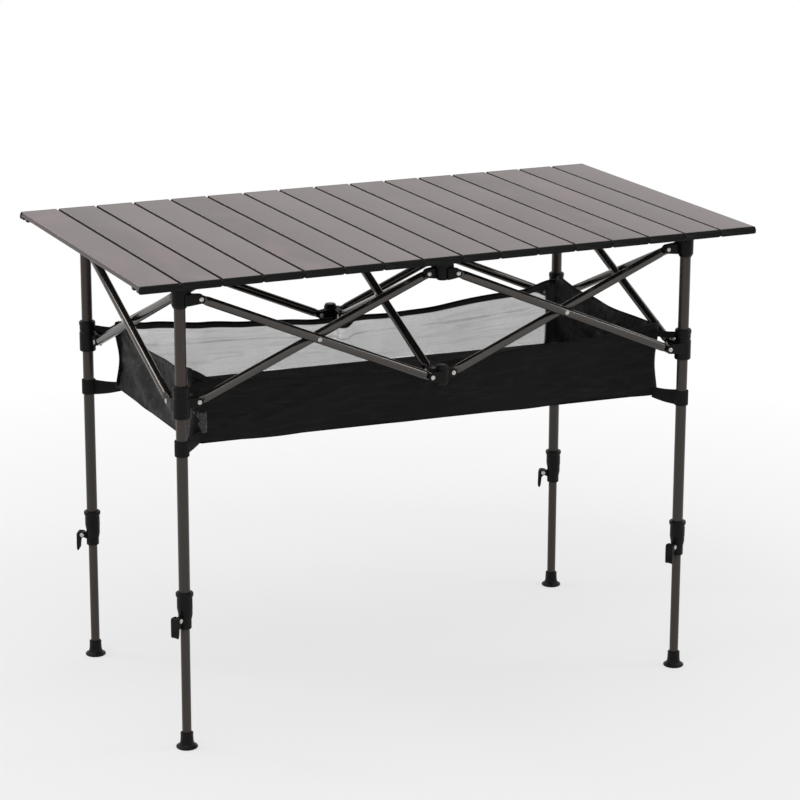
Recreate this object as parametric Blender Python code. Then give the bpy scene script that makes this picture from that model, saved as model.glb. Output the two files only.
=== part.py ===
"""Folding camp table: a roll-up slatted top on a scissor frame with four telescopic legs and a hanging basket.

Metres, +Z up. +X runs along the top and -Y is the front. The origin is on the floor under the middle of the top.
"""

import math

import bmesh
import bpy
from mathutils import Matrix, Vector

# Overall size
TOP_LENGTH = 0.950
TOP_DEPTH = 0.531
TOP_HEIGHT = 0.690

# Running clearance between pieces that touch or turn in each other
CLEARANCE = 0.0003

# Slats: an aluminium channel with a moulded cap at each end
SLAT_COUNT = 16
SLAT_PLATE_DEPTH = 0.0060
SLAT_SKIN = 0.0014
SLAT_LIP = 0.0030
SLAT_EDGE_INSET = 0.0004
SLAT_TUCK = 0.0005
CAP_DEPTH = 0.0108
CAP_OVERHANG = 0.0030
CAP_FOOT_LENGTH = 0.0140
CAP_KEEL_LENGTH = 0.0080
CAP_CORD_GAP = 0.0110
CAP_CORNER = 0.0012

# Rolling up: the slats turn about their elastic cords, which lie this far under the top
ROLL_AXIS_DEPTH = 0.0048
ROLL_TIGHTEST_TURN = math.radians(46)

# Scissor frame: every brace has the same pivot-to-pivot length, so all seven crossed pairs fold alike.
# The legs stand this far in from the ends of the slats, which gives the braces their span.
LEG_INSET = 0.0640
BRACE_RISE = 0.1485
BRACE_RADIUS = 0.0065
BRACE_SETBACK = 0.0078
TONGUE_RADIUS = 0.0058
TONGUE_THICKNESS = 0.0054
TONGUE_ROOT = 0.0080
EAR_RADIUS = 0.0063
EAR_THICKNESS = 0.0024
PIN_RADIUS = 0.0018
RIVET_RADIUS = 0.0036
RIVET_HEIGHT = 0.0011

# Hubs: heights are depths under the top of the table
UPPER_PIVOT_DEPTH = 0.0385
CORNER_ARM = 0.0275
CENTRE_ARM = 0.0195
CORNER_HUB_RADIUS = 0.0115
CORNER_HUB_BOTTOM_DEPTH = 0.0505
CENTRE_HUB_RADIUS = 0.0100
CENTRE_HUB_BOTTOM_DEPTH = 0.0480
HUB_ROOF = 0.0060
HUB_TAPER = 0.0045
ARM_ROOT_HALF_HEIGHT = 0.0085
SLIDER_RADIUS = 0.0112
SLIDER_LIP = 0.0010
SLIDER_ABOVE_PIVOT = 0.0270
SLIDER_BELOW_PIVOT = 0.0190
LOWER_HUB_HALF_HEIGHT = 0.0145

# Legs
LEG_RADIUS = 0.0080
LEG_WALL = 0.0011
INNER_LEG_WALL = 0.0012
INNER_LEG_ENGAGEMENT = 0.1000
LOCK_TOP_DEPTH = 0.4580
LOCK_HEIGHT = 0.0530
LOCK_RIM_RADIUS = 0.0125
LOCK_RIM_HEIGHT = 0.0045
LOCK_BARREL_RADIUS = 0.0110
LOCK_BARREL_HEIGHT = 0.0290
LOCK_NECK_RADIUS = 0.0092
LOCK_NECK_DROP = 0.0070
LOCK_SEAT = 0.0060
FOOT_HEIGHT = 0.0230
FOOT_SLEEVE_RADIUS = 0.0093
FOOT_FLANGE_RADIUS = 0.0155
FOOT_FLANGE_HEIGHT = 0.0060
FOOT_RIM_HEIGHT = 0.0025

# Flip lever on each leg lock
LEVER_TURN = math.radians(30)
LEVER_PIVOT_OUT = 0.0155
LEVER_PIVOT_DROP = 0.0375
LEVER_WIDTH = 0.0120
LEVER_BACK_OUT = 0.0085
LEVER_BACK_THICKNESS = 0.0030
LEVER_TAIL = 0.0250
LEVER_CAM_RADIUS = 0.0046
LOCK_LUG_THICKNESS = 0.0060
LOCK_LUG_RADIUS = 0.0038

# Basket: fabric box that hangs inside the frame from the sliders and is looped to the legs
BASKET_INSET = 0.0345
BASKET_RIM_DEPTH = 0.1650
BASKET_RIM_SAG = 0.0120
BASKET_FLOOR_DEPTH = 0.2560
BASKET_FLOOR_SAG = 0.0100
BASKET_CLOTH = 0.0016
BASKET_NOTCH_DEPTH = 0.1975
BASKET_NOTCH_WIDTH = 0.0105
BASKET_FOLD = 0.0022
BASKET_CORNER_CUT = 0.0120
BASKET_STOPS = 12
WEBBING_WIDTH = 0.0220
WEBBING_THICKNESS = 0.0016
WEBBING_LOOP_DEPTH = 0.2545
HANGER_WIDTH = 0.0100
HANGER_DEPTH = 0.1660

ROUND_SIDES = 12
TUBE_SIDES = 12
PIN_SIDES = 8

# Places that follow from the sizes above
PITCH = TOP_LENGTH / SLAT_COUNT
LEG_Y = TOP_DEPTH / 2 - LEG_INSET
BRACE_SPAN = 2 * (LEG_Y - CORNER_ARM)
LEG_X = CORNER_ARM + BRACE_SPAN + CENTRE_ARM
BRACE_LENGTH = math.hypot(BRACE_SPAN, BRACE_RISE)
BRACE_SLOPE = math.atan2(BRACE_RISE, BRACE_SPAN)
BRACE_OFFSET = BRACE_RADIUS + CLEARANCE / 2
UPPER_PIVOT_Z = TOP_HEIGHT - UPPER_PIVOT_DEPTH
LOWER_PIVOT_Z = UPPER_PIVOT_Z - BRACE_RISE
HUB_TOP_Z = TOP_HEIGHT - SLAT_PLATE_DEPTH - CLEARANCE
LEG_TOP_Z = HUB_TOP_Z - HUB_ROOF - CLEARANCE
LOCK_BOTTOM_Z = TOP_HEIGHT - LOCK_TOP_DEPTH - LOCK_HEIGHT
LEG_BOTTOM_Z = LOCK_BOTTOM_Z + LOCK_SEAT + CLEARANCE
INNER_LEG_RADIUS = LEG_RADIUS - LEG_WALL - CLEARANCE

CORNERS = {
    "front_left": (-1, -1),
    "front_right": (1, -1),
    "back_left": (-1, 1),
    "back_right": (1, 1),
}

# Crossed pairs: the column that the first brace starts from at the top, and the column it runs down to
CROSSED_PAIRS = {
    "front_left": ("front_centre", "front_left"),
    "front_right": ("front_centre", "front_right"),
    "centre": ("front_centre", "back_centre"),
    "back_left": ("back_centre", "back_left"),
    "back_right": ("back_centre", "back_right"),
    "end_left": ("front_left", "back_left"),
    "end_right": ("front_right", "back_right"),
}


def column_places():
    """Where the axis of each leg and of each centre hub stands, seen from above."""
    places = {name: Vector((x * LEG_X, y * LEG_Y, 0)) for name, (x, y) in CORNERS.items()}
    places["front_centre"] = Vector((0, -LEG_Y, 0))
    places["back_centre"] = Vector((0, LEG_Y, 0))
    return places


COLUMNS = column_places()


def arm_reach(column, direction):
    """A centre hub is narrower along the table, so its arms are shorter there."""
    if column.endswith("centre") and abs(direction.x) > 0.5:
        return CENTRE_ARM
    return CORNER_ARM


def heading(start, end):
    """The exact direction from one column to another, which is along the table or straight across it."""
    apart = (COLUMNS[end] - COLUMNS[start]).normalized()
    return Vector((round(apart.x), round(apart.y), 0))


def right_of(direction):
    """The horizontal direction to the right of one who looks along this direction."""
    return Vector((direction.y, -direction.x, 0))


# Scene and materials


def clear_scene():
    for thing in list(bpy.data.objects):
        bpy.data.objects.remove(thing, do_unlink=True)


def material(name, colour, roughness, metallic):
    """A Principled finish."""
    made = bpy.data.materials.new(name)
    made.use_nodes = True
    shader = made.node_tree.nodes["Principled BSDF"]
    shader.inputs["Base Color"].default_value = (*colour, 1)
    shader.inputs["Roughness"].default_value = roughness
    shader.inputs["Metallic"].default_value = metallic
    made.diffuse_color = (*colour, 1)
    return made


def place(name, mesh, finish, matrix=None):
    """Adds a finished piece under its own name, with its origin where the matrix puts it."""
    piece = bpy.data.objects.new(name, mesh)
    bpy.context.scene.collection.objects.link(piece)
    piece.matrix_world = matrix or Matrix.Identity(4)
    if not mesh.materials:
        mesh.materials.append(finish)
    return piece


# Mesh tools


def finish_mesh(bm, name):
    """Faces outwards, round sides smooth, and edges sharper than 40 degrees kept."""
    bmesh.ops.remove_doubles(bm, verts=bm.verts, dist=1e-6)
    bmesh.ops.recalc_face_normals(bm, faces=bm.faces)
    mesh = bpy.data.meshes.new(name)
    bm.to_mesh(mesh)
    bm.free()
    mesh.shade_smooth()
    mesh.set_sharp_from_angle(angle=math.radians(40))
    return mesh


def prism(outline, low, high, frame=None):
    """An outline in the local XY plane, extruded along local Z from low to high."""
    bm = bmesh.new()
    face = bm.faces.new([bm.verts.new((x, y, low)) for x, y in outline])
    grown = bmesh.ops.extrude_face_region(bm, geom=[face])
    top = [item for item in grown["geom"] if isinstance(item, bmesh.types.BMVert)]
    bmesh.ops.translate(bm, verts=top, vec=(0, 0, high - low))
    bmesh.ops.transform(bm, matrix=frame or Matrix.Identity(4), verts=bm.verts)
    return finish_mesh(bm, "prism")


def turned(profile, sides, frame=None):
    """A closed outline of (radius, height) points, turned about local Z."""
    bm = bmesh.new()
    rings = []
    for step in range(sides):
        angle = 2 * math.pi * step / sides
        rings.append([bm.verts.new((r * math.cos(angle), r * math.sin(angle), z)) for r, z in profile])
    for step in range(sides):
        here, there = rings[step], rings[(step + 1) % sides]
        for i in range(len(profile)):
            j = (i + 1) % len(profile)
            if profile[i][0] == 0 and profile[j][0] == 0:
                continue
            bm.faces.new([here[i], there[i], there[j], here[j]])
    bmesh.ops.remove_doubles(bm, verts=bm.verts, dist=1e-7)
    bmesh.ops.transform(bm, matrix=frame or Matrix.Identity(4), verts=bm.verts)
    return finish_mesh(bm, "turned")


def circle(radius, sides, start=0.0, sweep=2 * math.pi, centre=(0, 0)):
    """Points on an arc, ends included unless it closes on itself."""
    closed = abs(sweep - 2 * math.pi) < 1e-9
    steps = sides if closed else sides + 1
    return [
        (
            centre[0] + radius * math.cos(start + sweep * i / sides),
            centre[1] + radius * math.sin(start + sweep * i / sides),
        )
        for i in range(steps)
    ]


def combined(base, others, operation):
    """One mesh from a base and others, joined to it or cut from it."""
    work = bpy.data.objects.new("work", base)
    bpy.context.scene.collection.objects.link(work)
    tools = []
    for other in others:
        tool = bpy.data.objects.new("tool", other)
        bpy.context.scene.collection.objects.link(tool)
        step = work.modifiers.new("step", "BOOLEAN")
        step.operation = operation
        step.solver = "EXACT"
        step.object = tool
        tools.append(tool)
    bpy.context.view_layer.update()
    shape = work.evaluated_get(bpy.context.evaluated_depsgraph_get())
    mesh = bpy.data.meshes.new_from_object(shape)
    for thing in [work, *tools]:
        bpy.data.objects.remove(thing, do_unlink=True)
    bm = bmesh.new()
    bm.from_mesh(mesh)
    bmesh.ops.dissolve_degenerate(bm, edges=bm.edges, dist=1e-6)
    return finish_mesh(bm, base.name)


def joined(base, *others):
    return combined(base, others, "UNION")


def cut(base, *others):
    return combined(base, others, "DIFFERENCE")


def basis(x_axis, y_axis, origin=(0, 0, 0)):
    """A frame from its X and Y axes, and its origin."""
    x_axis, y_axis = Vector(x_axis).normalized(), Vector(y_axis).normalized()
    turn = Matrix((x_axis, y_axis, x_axis.cross(y_axis))).transposed()
    return Matrix.Translation(Vector(origin)) @ turn.to_4x4()


def across(direction, origin=(0, 0, 0)):
    """A frame for side views: local X runs along the direction, local Y is up and local Z is to its right."""
    return basis(direction, (0, 0, 1), origin)


def round_bar(radius, sides, low, high, frame):
    return prism(circle(radius, sides), low, high, frame)


# Tabletop


def slat_half_width(depth):
    """Half the room a slat has at a depth under the top: it draws in above the roll axis, so slats can roll up."""
    above_axis = max(ROLL_AXIS_DEPTH - depth, 0)
    return PITCH / 2 - CLEARANCE / 2 - above_axis * math.tan(ROLL_TIGHTEST_TURN / 2)


def mirrored(right_side):
    """A closed outline from the points of its right side, listed from the top down."""
    return right_side + [(-x, z) for x, z in reversed(right_side)]


def slat_section():
    """The aluminium channel: a plate with a turned-down lip on each side."""
    lip = slat_half_width(SLAT_PLATE_DEPTH) - SLAT_EDGE_INSET
    return mirrored(
        [
            (slat_half_width(0) - SLAT_EDGE_INSET, 0),
            (lip, -ROLL_AXIS_DEPTH),
            (lip, -SLAT_PLATE_DEPTH),
            (lip - SLAT_LIP, -SLAT_PLATE_DEPTH),
            (lip - SLAT_LIP, -SLAT_SKIN),
        ]
    )


def cap_shapes(side):
    """The end cap: its end wall, and the foot and keel that plug the channel, with the cord's gap between them."""
    end = TOP_DEPTH / 2
    wide = slat_half_width(CAP_DEPTH)
    wall = mirrored(
        [
            (slat_half_width(0), 0),
            (wide, -ROLL_AXIS_DEPTH),
            (wide, -(CAP_DEPTH - CAP_CORNER)),
            (wide - CAP_CORNER, -CAP_DEPTH),
        ]
    )
    plug = wide - SLAT_EDGE_INSET - SLAT_LIP + SLAT_TUCK
    below = mirrored(
        [
            (plug, -(SLAT_SKIN - SLAT_TUCK)),
            (plug, -(SLAT_PLATE_DEPTH - SLAT_TUCK)),
            (wide, -(SLAT_PLATE_DEPTH - SLAT_TUCK)),
            (wide - SLAT_TUCK, -CAP_DEPTH + SLAT_TUCK),
        ]
    )
    keel_start = CAP_FOOT_LENGTH + CAP_CORD_GAP
    frame = basis((1, 0, 0), (0, 0, 1))
    spans = [
        (wall, end - CAP_OVERHANG - SLAT_TUCK, end),
        (below, end - CAP_FOOT_LENGTH, end - SLAT_TUCK),
        (below, end - keel_start - CAP_KEEL_LENGTH, end - keel_start),
    ]
    return [prism(shape, *sorted((-side * near, -side * far)), frame) for shape, near, far in spans]


def slat_mesh():
    """One slat, its origin in the middle of its top face."""
    reach = TOP_DEPTH / 2 - CAP_OVERHANG
    channel = prism(slat_section(), -reach, reach, basis((1, 0, 0), (0, 0, 1)))
    return joined(channel, *cap_shapes(1), *cap_shapes(-1))


def slat_x(number):
    """The middle of a slat along the table; numbers start at 1 on the left."""
    return -TOP_LENGTH / 2 + (number - 0.5) * PITCH


def build_top(finish):
    """All the slats share one mesh. Each turns about the cord on its left side, where its parent empty stands."""
    mesh = slat_mesh()
    mesh.name = "slat"
    for number in range(1, SLAT_COUNT + 1):
        cord = Vector((slat_x(number) - PITCH / 2, 0, TOP_HEIGHT - ROLL_AXIS_DEPTH))
        axis = bpy.data.objects.new(f"roll_axis_{number:02d}", None)
        bpy.context.scene.collection.objects.link(axis)
        axis.location = cord
        slat = place(f"slat_{number:02d}", mesh, finish)
        slat.parent = axis
        slat.location = Vector((PITCH / 2, 0, ROLL_AXIS_DEPTH))


# Hubs


def hub_arm(direction, reach, side):
    """A forked arm for one brace, and the slot and pin to cut and add once it is on its hub.

    The fork stands to the right of the arm's direction on an upper hub (side 1), and to the left on a lower one.
    """
    middle = right_of(direction) * BRACE_OFFSET * side
    frame = across(direction, middle)
    half = TONGUE_THICKNESS / 2 + CLEARANCE + EAR_THICKNESS
    tip = circle(EAR_RADIUS, 4, -math.pi / 2, math.pi, (reach, 0))
    root = CENTRE_HUB_RADIUS / 3
    outline = [(root, -ARM_ROOT_HALF_HEIGHT), *tip, (root, ARM_ROOT_HALF_HEIGHT)]
    arm = prism(outline, -half, half, frame)
    slot_half = TONGUE_THICKNESS / 2 + CLEARANCE
    slot_start = reach - TONGUE_RADIUS - CLEARANCE
    tall = 2 * ARM_ROOT_HALF_HEIGHT
    box = [(slot_start, -tall), (2 * reach, -tall), (2 * reach, tall), (slot_start, tall)]
    slot = prism(box, -slot_half, slot_half, frame)
    pivot = across(direction, middle + direction * reach)
    pin = round_bar(PIN_RADIUS, PIN_SIDES, -half - RIVET_HEIGHT, half + RIVET_HEIGHT, pivot)
    heads = [
        round_bar(RIVET_RADIUS, PIN_SIDES, half - CLEARANCE, half + RIVET_HEIGHT, pivot),
        round_bar(RIVET_RADIUS, PIN_SIDES, -half - RIVET_HEIGHT, -half + CLEARANCE, pivot),
    ]
    return arm, slot, pin, heads


def hub_mesh(body, bore, column, directions, side):
    """A hub from its turned body, the bore for its leg if it has one, and an arm in each direction."""
    arms, slots, pins = [], [], []
    for direction in directions:
        arm, slot, pin, heads = hub_arm(direction, arm_reach(column, direction), side)
        arms.append(arm)
        slots.append(slot)
        pins += [pin, *heads]
    shape = joined(body, *arms)
    shape = cut(shape, *slots, *([bore] if bore else []))
    return joined(shape, *pins)


def arm_directions(column):
    """From a column towards each column that a crossed pair joins it to."""
    found = []
    for pair in CROSSED_PAIRS.values():
        if column in pair:
            other = pair[1] if pair[0] == column else pair[0]
            found.append(heading(column, other))
    return found


def upper_hub(column, finish):
    """Socket on the leg top, or the plain centre hub; its roof carries the slats. Heights are from the pivots."""
    corner = column in CORNERS
    radius = CORNER_HUB_RADIUS if corner else CENTRE_HUB_RADIUS
    bottom_depth = CORNER_HUB_BOTTOM_DEPTH if corner else CENTRE_HUB_BOTTOM_DEPTH
    top, bottom = HUB_TOP_Z - UPPER_PIVOT_Z, UPPER_PIVOT_DEPTH - bottom_depth
    profile = [
        (0, bottom),
        (radius - HUB_TAPER / 2, bottom),
        (radius, bottom + HUB_TAPER),
        (radius, top),
        (0, top),
    ]
    body = turned(profile, ROUND_SIDES)
    bore = None
    if corner:
        roof = top - HUB_ROOF
        bore = round_bar(LEG_RADIUS + CLEARANCE, ROUND_SIDES, bottom - HUB_TAPER, roof, Matrix.Identity(4))
    mesh = hub_mesh(body, bore, column, arm_directions(column), 1)
    mesh.name = f"top_hub_{column}"
    place(mesh.name, mesh, finish, Matrix.Translation(COLUMNS[column] + Vector((0, 0, UPPER_PIVOT_Z))))


def lower_hub(column, finish):
    """Slider that runs on the outer leg, or the plain lower centre hub. Heights are from the pivots."""
    if column in CORNERS:
        name = f"slider_{column}"
        top, bottom, radius = SLIDER_ABOVE_PIVOT, -SLIDER_BELOW_PIVOT, SLIDER_RADIUS
        profile = [
            (0, bottom),
            (radius, bottom),
            (radius + SLIDER_LIP, bottom + SLIDER_LIP),
            (radius + SLIDER_LIP, top - 2 * SLIDER_LIP),
            (radius - SLIDER_LIP, top),
            (0, top),
        ]
        bore = round_bar(LEG_RADIUS + CLEARANCE, ROUND_SIDES, bottom - radius, top + radius, Matrix.Identity(4))
    else:
        name = f"lower_hub_{column}"
        top, bottom, radius = LOWER_HUB_HALF_HEIGHT, -LOWER_HUB_HALF_HEIGHT, CENTRE_HUB_RADIUS
        profile = [
            (0, bottom),
            (radius - HUB_TAPER / 2, bottom),
            (radius, bottom + HUB_TAPER),
            (radius, top - HUB_TAPER),
            (radius - HUB_TAPER / 2, top),
            (0, top),
        ]
        bore = None
    mesh = hub_mesh(turned(profile, ROUND_SIDES), bore, column, arm_directions(column), -1)
    mesh.name = name
    place(name, mesh, finish, Matrix.Translation(COLUMNS[column] + Vector((0, 0, LOWER_PIVOT_Z))))


# Braces


def brace_blank():
    """Tube with a flat tongue in each end. X runs from the upper pivot at 0; Z is away from the crossing brace."""
    along = basis((0, 1, 0), (0, 0, 1))
    tube = round_bar(BRACE_RADIUS, TUBE_SIDES, BRACE_SETBACK, BRACE_LENGTH - BRACE_SETBACK, along)
    half = TONGUE_THICKNESS / 2
    inner = BRACE_SETBACK + TONGUE_ROOT
    near = circle(TONGUE_RADIUS, 5, math.pi / 2, math.pi)
    near += [(inner, -TONGUE_RADIUS * 0.8), (inner, TONGUE_RADIUS * 0.8)]
    far = [(BRACE_LENGTH - x, y) for x, y in near]
    blank = joined(tube, prism(near, -half, half), prism(far, -half, half))
    bores = [pivot_bore(0), pivot_bore(BRACE_LENGTH)]
    return cut(blank, *bores)


def pivot_bore(x):
    """A cutter for a pin's hole, right through the brace."""
    return round_bar(PIN_RADIUS + CLEARANCE, PIN_SIDES, -2 * BRACE_RADIUS, 2 * BRACE_RADIUS, Matrix.Translation((x, 0, 0)))


def pinned_brace():
    """The first brace of a pair carries the rivet that goes through the second, with a head on both sides."""
    middle = Matrix.Translation((BRACE_LENGTH / 2, 0, 0))
    far_side = -(2 * BRACE_OFFSET + BRACE_RADIUS + CLEARANCE)
    pin = round_bar(PIN_RADIUS, PIN_SIDES, far_side - RIVET_HEIGHT, 0, middle)
    outer_head = round_bar(RIVET_RADIUS, PIN_SIDES, BRACE_RADIUS - RIVET_HEIGHT, BRACE_RADIUS + RIVET_HEIGHT, middle)
    far_head = round_bar(RIVET_RADIUS, PIN_SIDES, far_side - RIVET_HEIGHT, far_side, middle)
    mesh = joined(brace_blank(), pin, outer_head, far_head)
    mesh.name = "pinned_brace"
    return mesh


def bored_brace():
    """The second brace of a pair, its origin moved to the crossing that it turns about."""
    mesh = cut(brace_blank(), pivot_bore(BRACE_LENGTH / 2))
    mesh.transform(Matrix.Translation((-BRACE_LENGTH / 2, 0, 0)))
    mesh.name = "bored_brace"
    return mesh


def brace_frame(start, end):
    """Where a brace lies that runs from the start column's upper hub down to the end column's lower hub."""
    direction = heading(start, end)
    slope = direction * math.cos(BRACE_SLOPE) - Vector((0, 0, math.sin(BRACE_SLOPE)))
    side = right_of(direction)
    pivot = COLUMNS[start] + direction * arm_reach(start, direction) + side * BRACE_OFFSET
    pivot.z = UPPER_PIVOT_Z
    return basis(slope, side.cross(slope), pivot)


def build_braces(finish):
    pinned, bored = pinned_brace(), bored_brace()
    for name, (start, end) in CROSSED_PAIRS.items():
        place(f"brace_{name}_a", pinned, finish, brace_frame(start, end))
        to_middle = Matrix.Translation((BRACE_LENGTH / 2, 0, 0))
        place(f"brace_{name}_b", bored, finish, brace_frame(end, start) @ to_middle)


# Legs


def outer_leg():
    inside = LEG_RADIUS - LEG_WALL
    profile = [(LEG_RADIUS, LEG_TOP_Z), (LEG_RADIUS, LEG_BOTTOM_Z), (inside, LEG_BOTTOM_Z), (inside, LEG_TOP_Z)]
    return turned(profile, ROUND_SIDES)


def inner_leg():
    """The lower leg with its moulded foot: a sleeve on a broad flange. The tube is open at the top."""
    top = LEG_BOTTOM_Z + INNER_LEG_ENGAGEMENT
    inside = INNER_LEG_RADIUS - INNER_LEG_WALL
    profile = [
        (0, 0),
        (FOOT_FLANGE_RADIUS - FOOT_RIM_HEIGHT / 2, 0),
        (FOOT_FLANGE_RADIUS, FOOT_RIM_HEIGHT / 2),
        (FOOT_FLANGE_RADIUS, FOOT_RIM_HEIGHT),
        (FOOT_SLEEVE_RADIUS, FOOT_FLANGE_HEIGHT),
        (FOOT_SLEEVE_RADIUS, FOOT_HEIGHT - FOOT_RIM_HEIGHT),
        (INNER_LEG_RADIUS, FOOT_HEIGHT),
        (INNER_LEG_RADIUS, top),
        (inside, top),
        (inside, FOOT_HEIGHT),
        (0, FOOT_HEIGHT),
    ]
    return turned(profile, ROUND_SIDES)


def lever_pivot(out=LEVER_PIVOT_OUT):
    """Place of the lever's pin, in the lock's own frame, whose X points to the lever."""
    return Vector((out, 0, TOP_HEIGHT - LOCK_TOP_DEPTH - LEVER_PIVOT_DROP))


def lock_collar():
    """Clamp collar on the end of the outer leg: rim, barrel, neck, and a lug with the lever's pin."""
    top = TOP_HEIGHT - LOCK_TOP_DEPTH
    barrel = top - LOCK_BARREL_HEIGHT
    outline = [
        (0, LOCK_BOTTOM_Z),
        (LOCK_NECK_RADIUS, LOCK_BOTTOM_Z),
        (LOCK_NECK_RADIUS, barrel - LOCK_NECK_DROP),
        (LOCK_BARREL_RADIUS, barrel),
        (LOCK_BARREL_RADIUS, top - LOCK_RIM_HEIGHT),
        (LOCK_RIM_RADIUS, top - LOCK_RIM_HEIGHT + SLIDER_LIP),
        (LOCK_RIM_RADIUS, top - SLIDER_LIP),
        (LOCK_RIM_RADIUS - SLIDER_LIP, top),
        (0, top),
    ]
    body = turned(outline, ROUND_SIDES)
    pivot = lever_pivot()
    frame = across(Vector((1, 0, 0)), (0, 0, pivot.z))
    root = LEG_RADIUS
    tip = circle(LOCK_LUG_RADIUS, 6, -math.pi / 2, math.pi, (pivot.x, 0))
    lug = prism(
        [(root, -2 * LOCK_LUG_RADIUS), *tip, (root, LOCK_LUG_RADIUS)],
        -LOCK_LUG_THICKNESS / 2,
        LOCK_LUG_THICKNESS / 2,
        frame,
    )
    half = LEVER_WIDTH / 2 + CLEARANCE
    axis = across(Vector((1, 0, 0)), pivot)
    pin = round_bar(PIN_RADIUS, PIN_SIDES, -half - RIVET_HEIGHT, half + RIVET_HEIGHT, axis)
    heads = [
        round_bar(RIVET_RADIUS, PIN_SIDES, half, half + RIVET_HEIGHT, axis),
        round_bar(RIVET_RADIUS, PIN_SIDES, -half - RIVET_HEIGHT, -half, axis),
    ]
    still = Matrix.Identity(4)
    leg_bore = round_bar(LEG_RADIUS + CLEARANCE, ROUND_SIDES, LOCK_BOTTOM_Z + LOCK_SEAT, top + LOCK_HEIGHT, still)
    inner_bore = round_bar(INNER_LEG_RADIUS + CLEARANCE, ROUND_SIDES, 0, top, still)
    shape = cut(joined(body, lug), leg_bore, inner_bore)
    return joined(shape, pin, *heads)


def lever():
    """Flip lever: two cheeks on the pin, joined by a back plate, with a tail that stands off the leg."""
    back = LEVER_BACK_OUT
    cam = circle(LEVER_CAM_RADIUS, 6, math.radians(95), math.radians(175))
    outline = [
        *cam,
        (0.30 * back, -0.36 * LEVER_TAIL),
        (0.42 * back, -0.76 * LEVER_TAIL),
        (0.60 * back, -0.96 * LEVER_TAIL),
        (0.80 * back, -LEVER_TAIL),
        (0.96 * back, -0.93 * LEVER_TAIL),
        (back, -0.50 * LEVER_TAIL),
        (back, 0.06 * LEVER_TAIL),
        (0.84 * back, 0.16 * LEVER_TAIL),
        (0.58 * back, 0.19 * LEVER_TAIL),
    ]
    frame = across(Vector((1, 0, 0)))
    body = prism(outline, -LEVER_WIDTH / 2, LEVER_WIDTH / 2, frame)
    inside = LOCK_LUG_THICKNESS / 2 + CLEARANCE
    plate = back - LEVER_BACK_THICKNESS
    tall = 2 * LEVER_TAIL
    room = [(-tall, -tall), (plate, -tall), (plate, tall), (-tall, tall)]
    channel = prism(room, -inside, inside, frame)
    bore = round_bar(PIN_RADIUS + CLEARANCE, PIN_SIDES, -LEVER_WIDTH, LEVER_WIDTH, frame)
    return cut(body, channel, bore)


def build_legs(tube_finish, inner_finish, plastic):
    meshes = {"leg_tube": outer_leg(), "leg_inner": inner_leg(), "leg_lock": lock_collar(), "lock_lever": lever()}
    for name, mesh in meshes.items():
        mesh.name = name
    for corner, (_, back) in CORNERS.items():
        foot = Matrix.Translation(COLUMNS[corner])
        facing = Matrix.Rotation(math.pi - back * LEVER_TURN, 4, "Z")
        place(f"leg_tube_{corner}", meshes["leg_tube"], tube_finish, foot)
        place(f"leg_inner_{corner}", meshes["leg_inner"], inner_finish, foot)
        place(f"leg_lock_{corner}", meshes["leg_lock"], plastic, foot @ facing)
        pivot = Matrix.Translation(lever_pivot())
        place(f"lock_lever_{corner}", meshes["lock_lever"], plastic, foot @ facing @ pivot)


# Basket


def basket_stops(half, notch):
    """Places along a wall, from one corner to the other; a long wall also has stops at the notch for the brace."""
    even = [half * (2 * i / BASKET_STOPS - 1) for i in range(BASKET_STOPS + 1)]
    if notch is None:
        return even[::2]
    reach = 3 * BASKET_NOTCH_WIDTH
    clear = [place for place in even if abs(place - notch) > 1.5 * reach]
    return sorted(clear + [notch + side * reach / share for side in (-1, 1) for share in (1, 3)])


def basket_outline():
    """Points round the basket from its front left corner, each with the outward direction of its wall."""
    half_x, half_y = LEG_X - BASKET_INSET, LEG_Y - BASKET_INSET
    walls = [
        (Vector((0, -half_y, 0)), Vector((1, 0, 0)), half_x, -BRACE_OFFSET),
        (Vector((half_x, 0, 0)), Vector((0, 1, 0)), half_y, None),
        (Vector((0, half_y, 0)), Vector((-1, 0, 0)), half_x, -BRACE_OFFSET),
        (Vector((-half_x, 0, 0)), Vector((0, -1, 0)), half_y, None),
    ]
    points = []
    for middle, run, half, notch in walls:
        reach = half - BASKET_CORNER_CUT
        for stop in basket_stops(reach, notch):
            points.append((middle + run * stop, right_of(run), (stop / reach + 1) / 2))
    return points


def basket_wall_point(where, outward, share, level):
    """A wall point at a level from 0, the floor's edge, to 1, the rim: it hangs slack and folds between corners."""
    slack = math.sin(math.pi * share)
    rim = TOP_HEIGHT - BASKET_RIM_DEPTH - BASKET_RIM_SAG * slack
    notch_x = BRACE_OFFSET * outward.y
    if abs(outward.y) > 0.5:
        offset = abs(where.x - notch_x)
        ease = max(0.0, min(1.0, (offset - BASKET_NOTCH_WIDTH) / (2 * BASKET_NOTCH_WIDTH)))
        ease = ease * ease * (3 - 2 * ease)
        rim = min(rim, TOP_HEIGHT - BASKET_NOTCH_DEPTH + ease * (rim - TOP_HEIGHT + BASKET_NOTCH_DEPTH))
    floor = TOP_HEIGHT - BASKET_FLOOR_DEPTH - 0.3 * BASKET_FLOOR_SAG * slack
    run = where.x + 1.7 * where.y
    fold = BASKET_FOLD * math.sin(math.pi * level) * math.sin(95 * run + 4 * level)
    inward = 2 * BASKET_FOLD * slack * math.sin(math.pi * level)
    place_in = where - outward * (inward + abs(fold))
    return Vector((place_in.x, place_in.y, floor + level * (rim - floor)))


def basket_floor_point(u, v, edge_z):
    """A floor point, u and v from -1 to 1: the cloth sinks towards the middle in shallow troughs."""
    sink = BASKET_FLOOR_SAG * 0.7 * (1 - u * u) * (1 - v * v)
    ripple = 0.4 * BASKET_FOLD * (1 - u * u) * (1 - v * v) * math.sin(9 * u + 5 * v)
    return edge_z - sink - ripple


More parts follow.
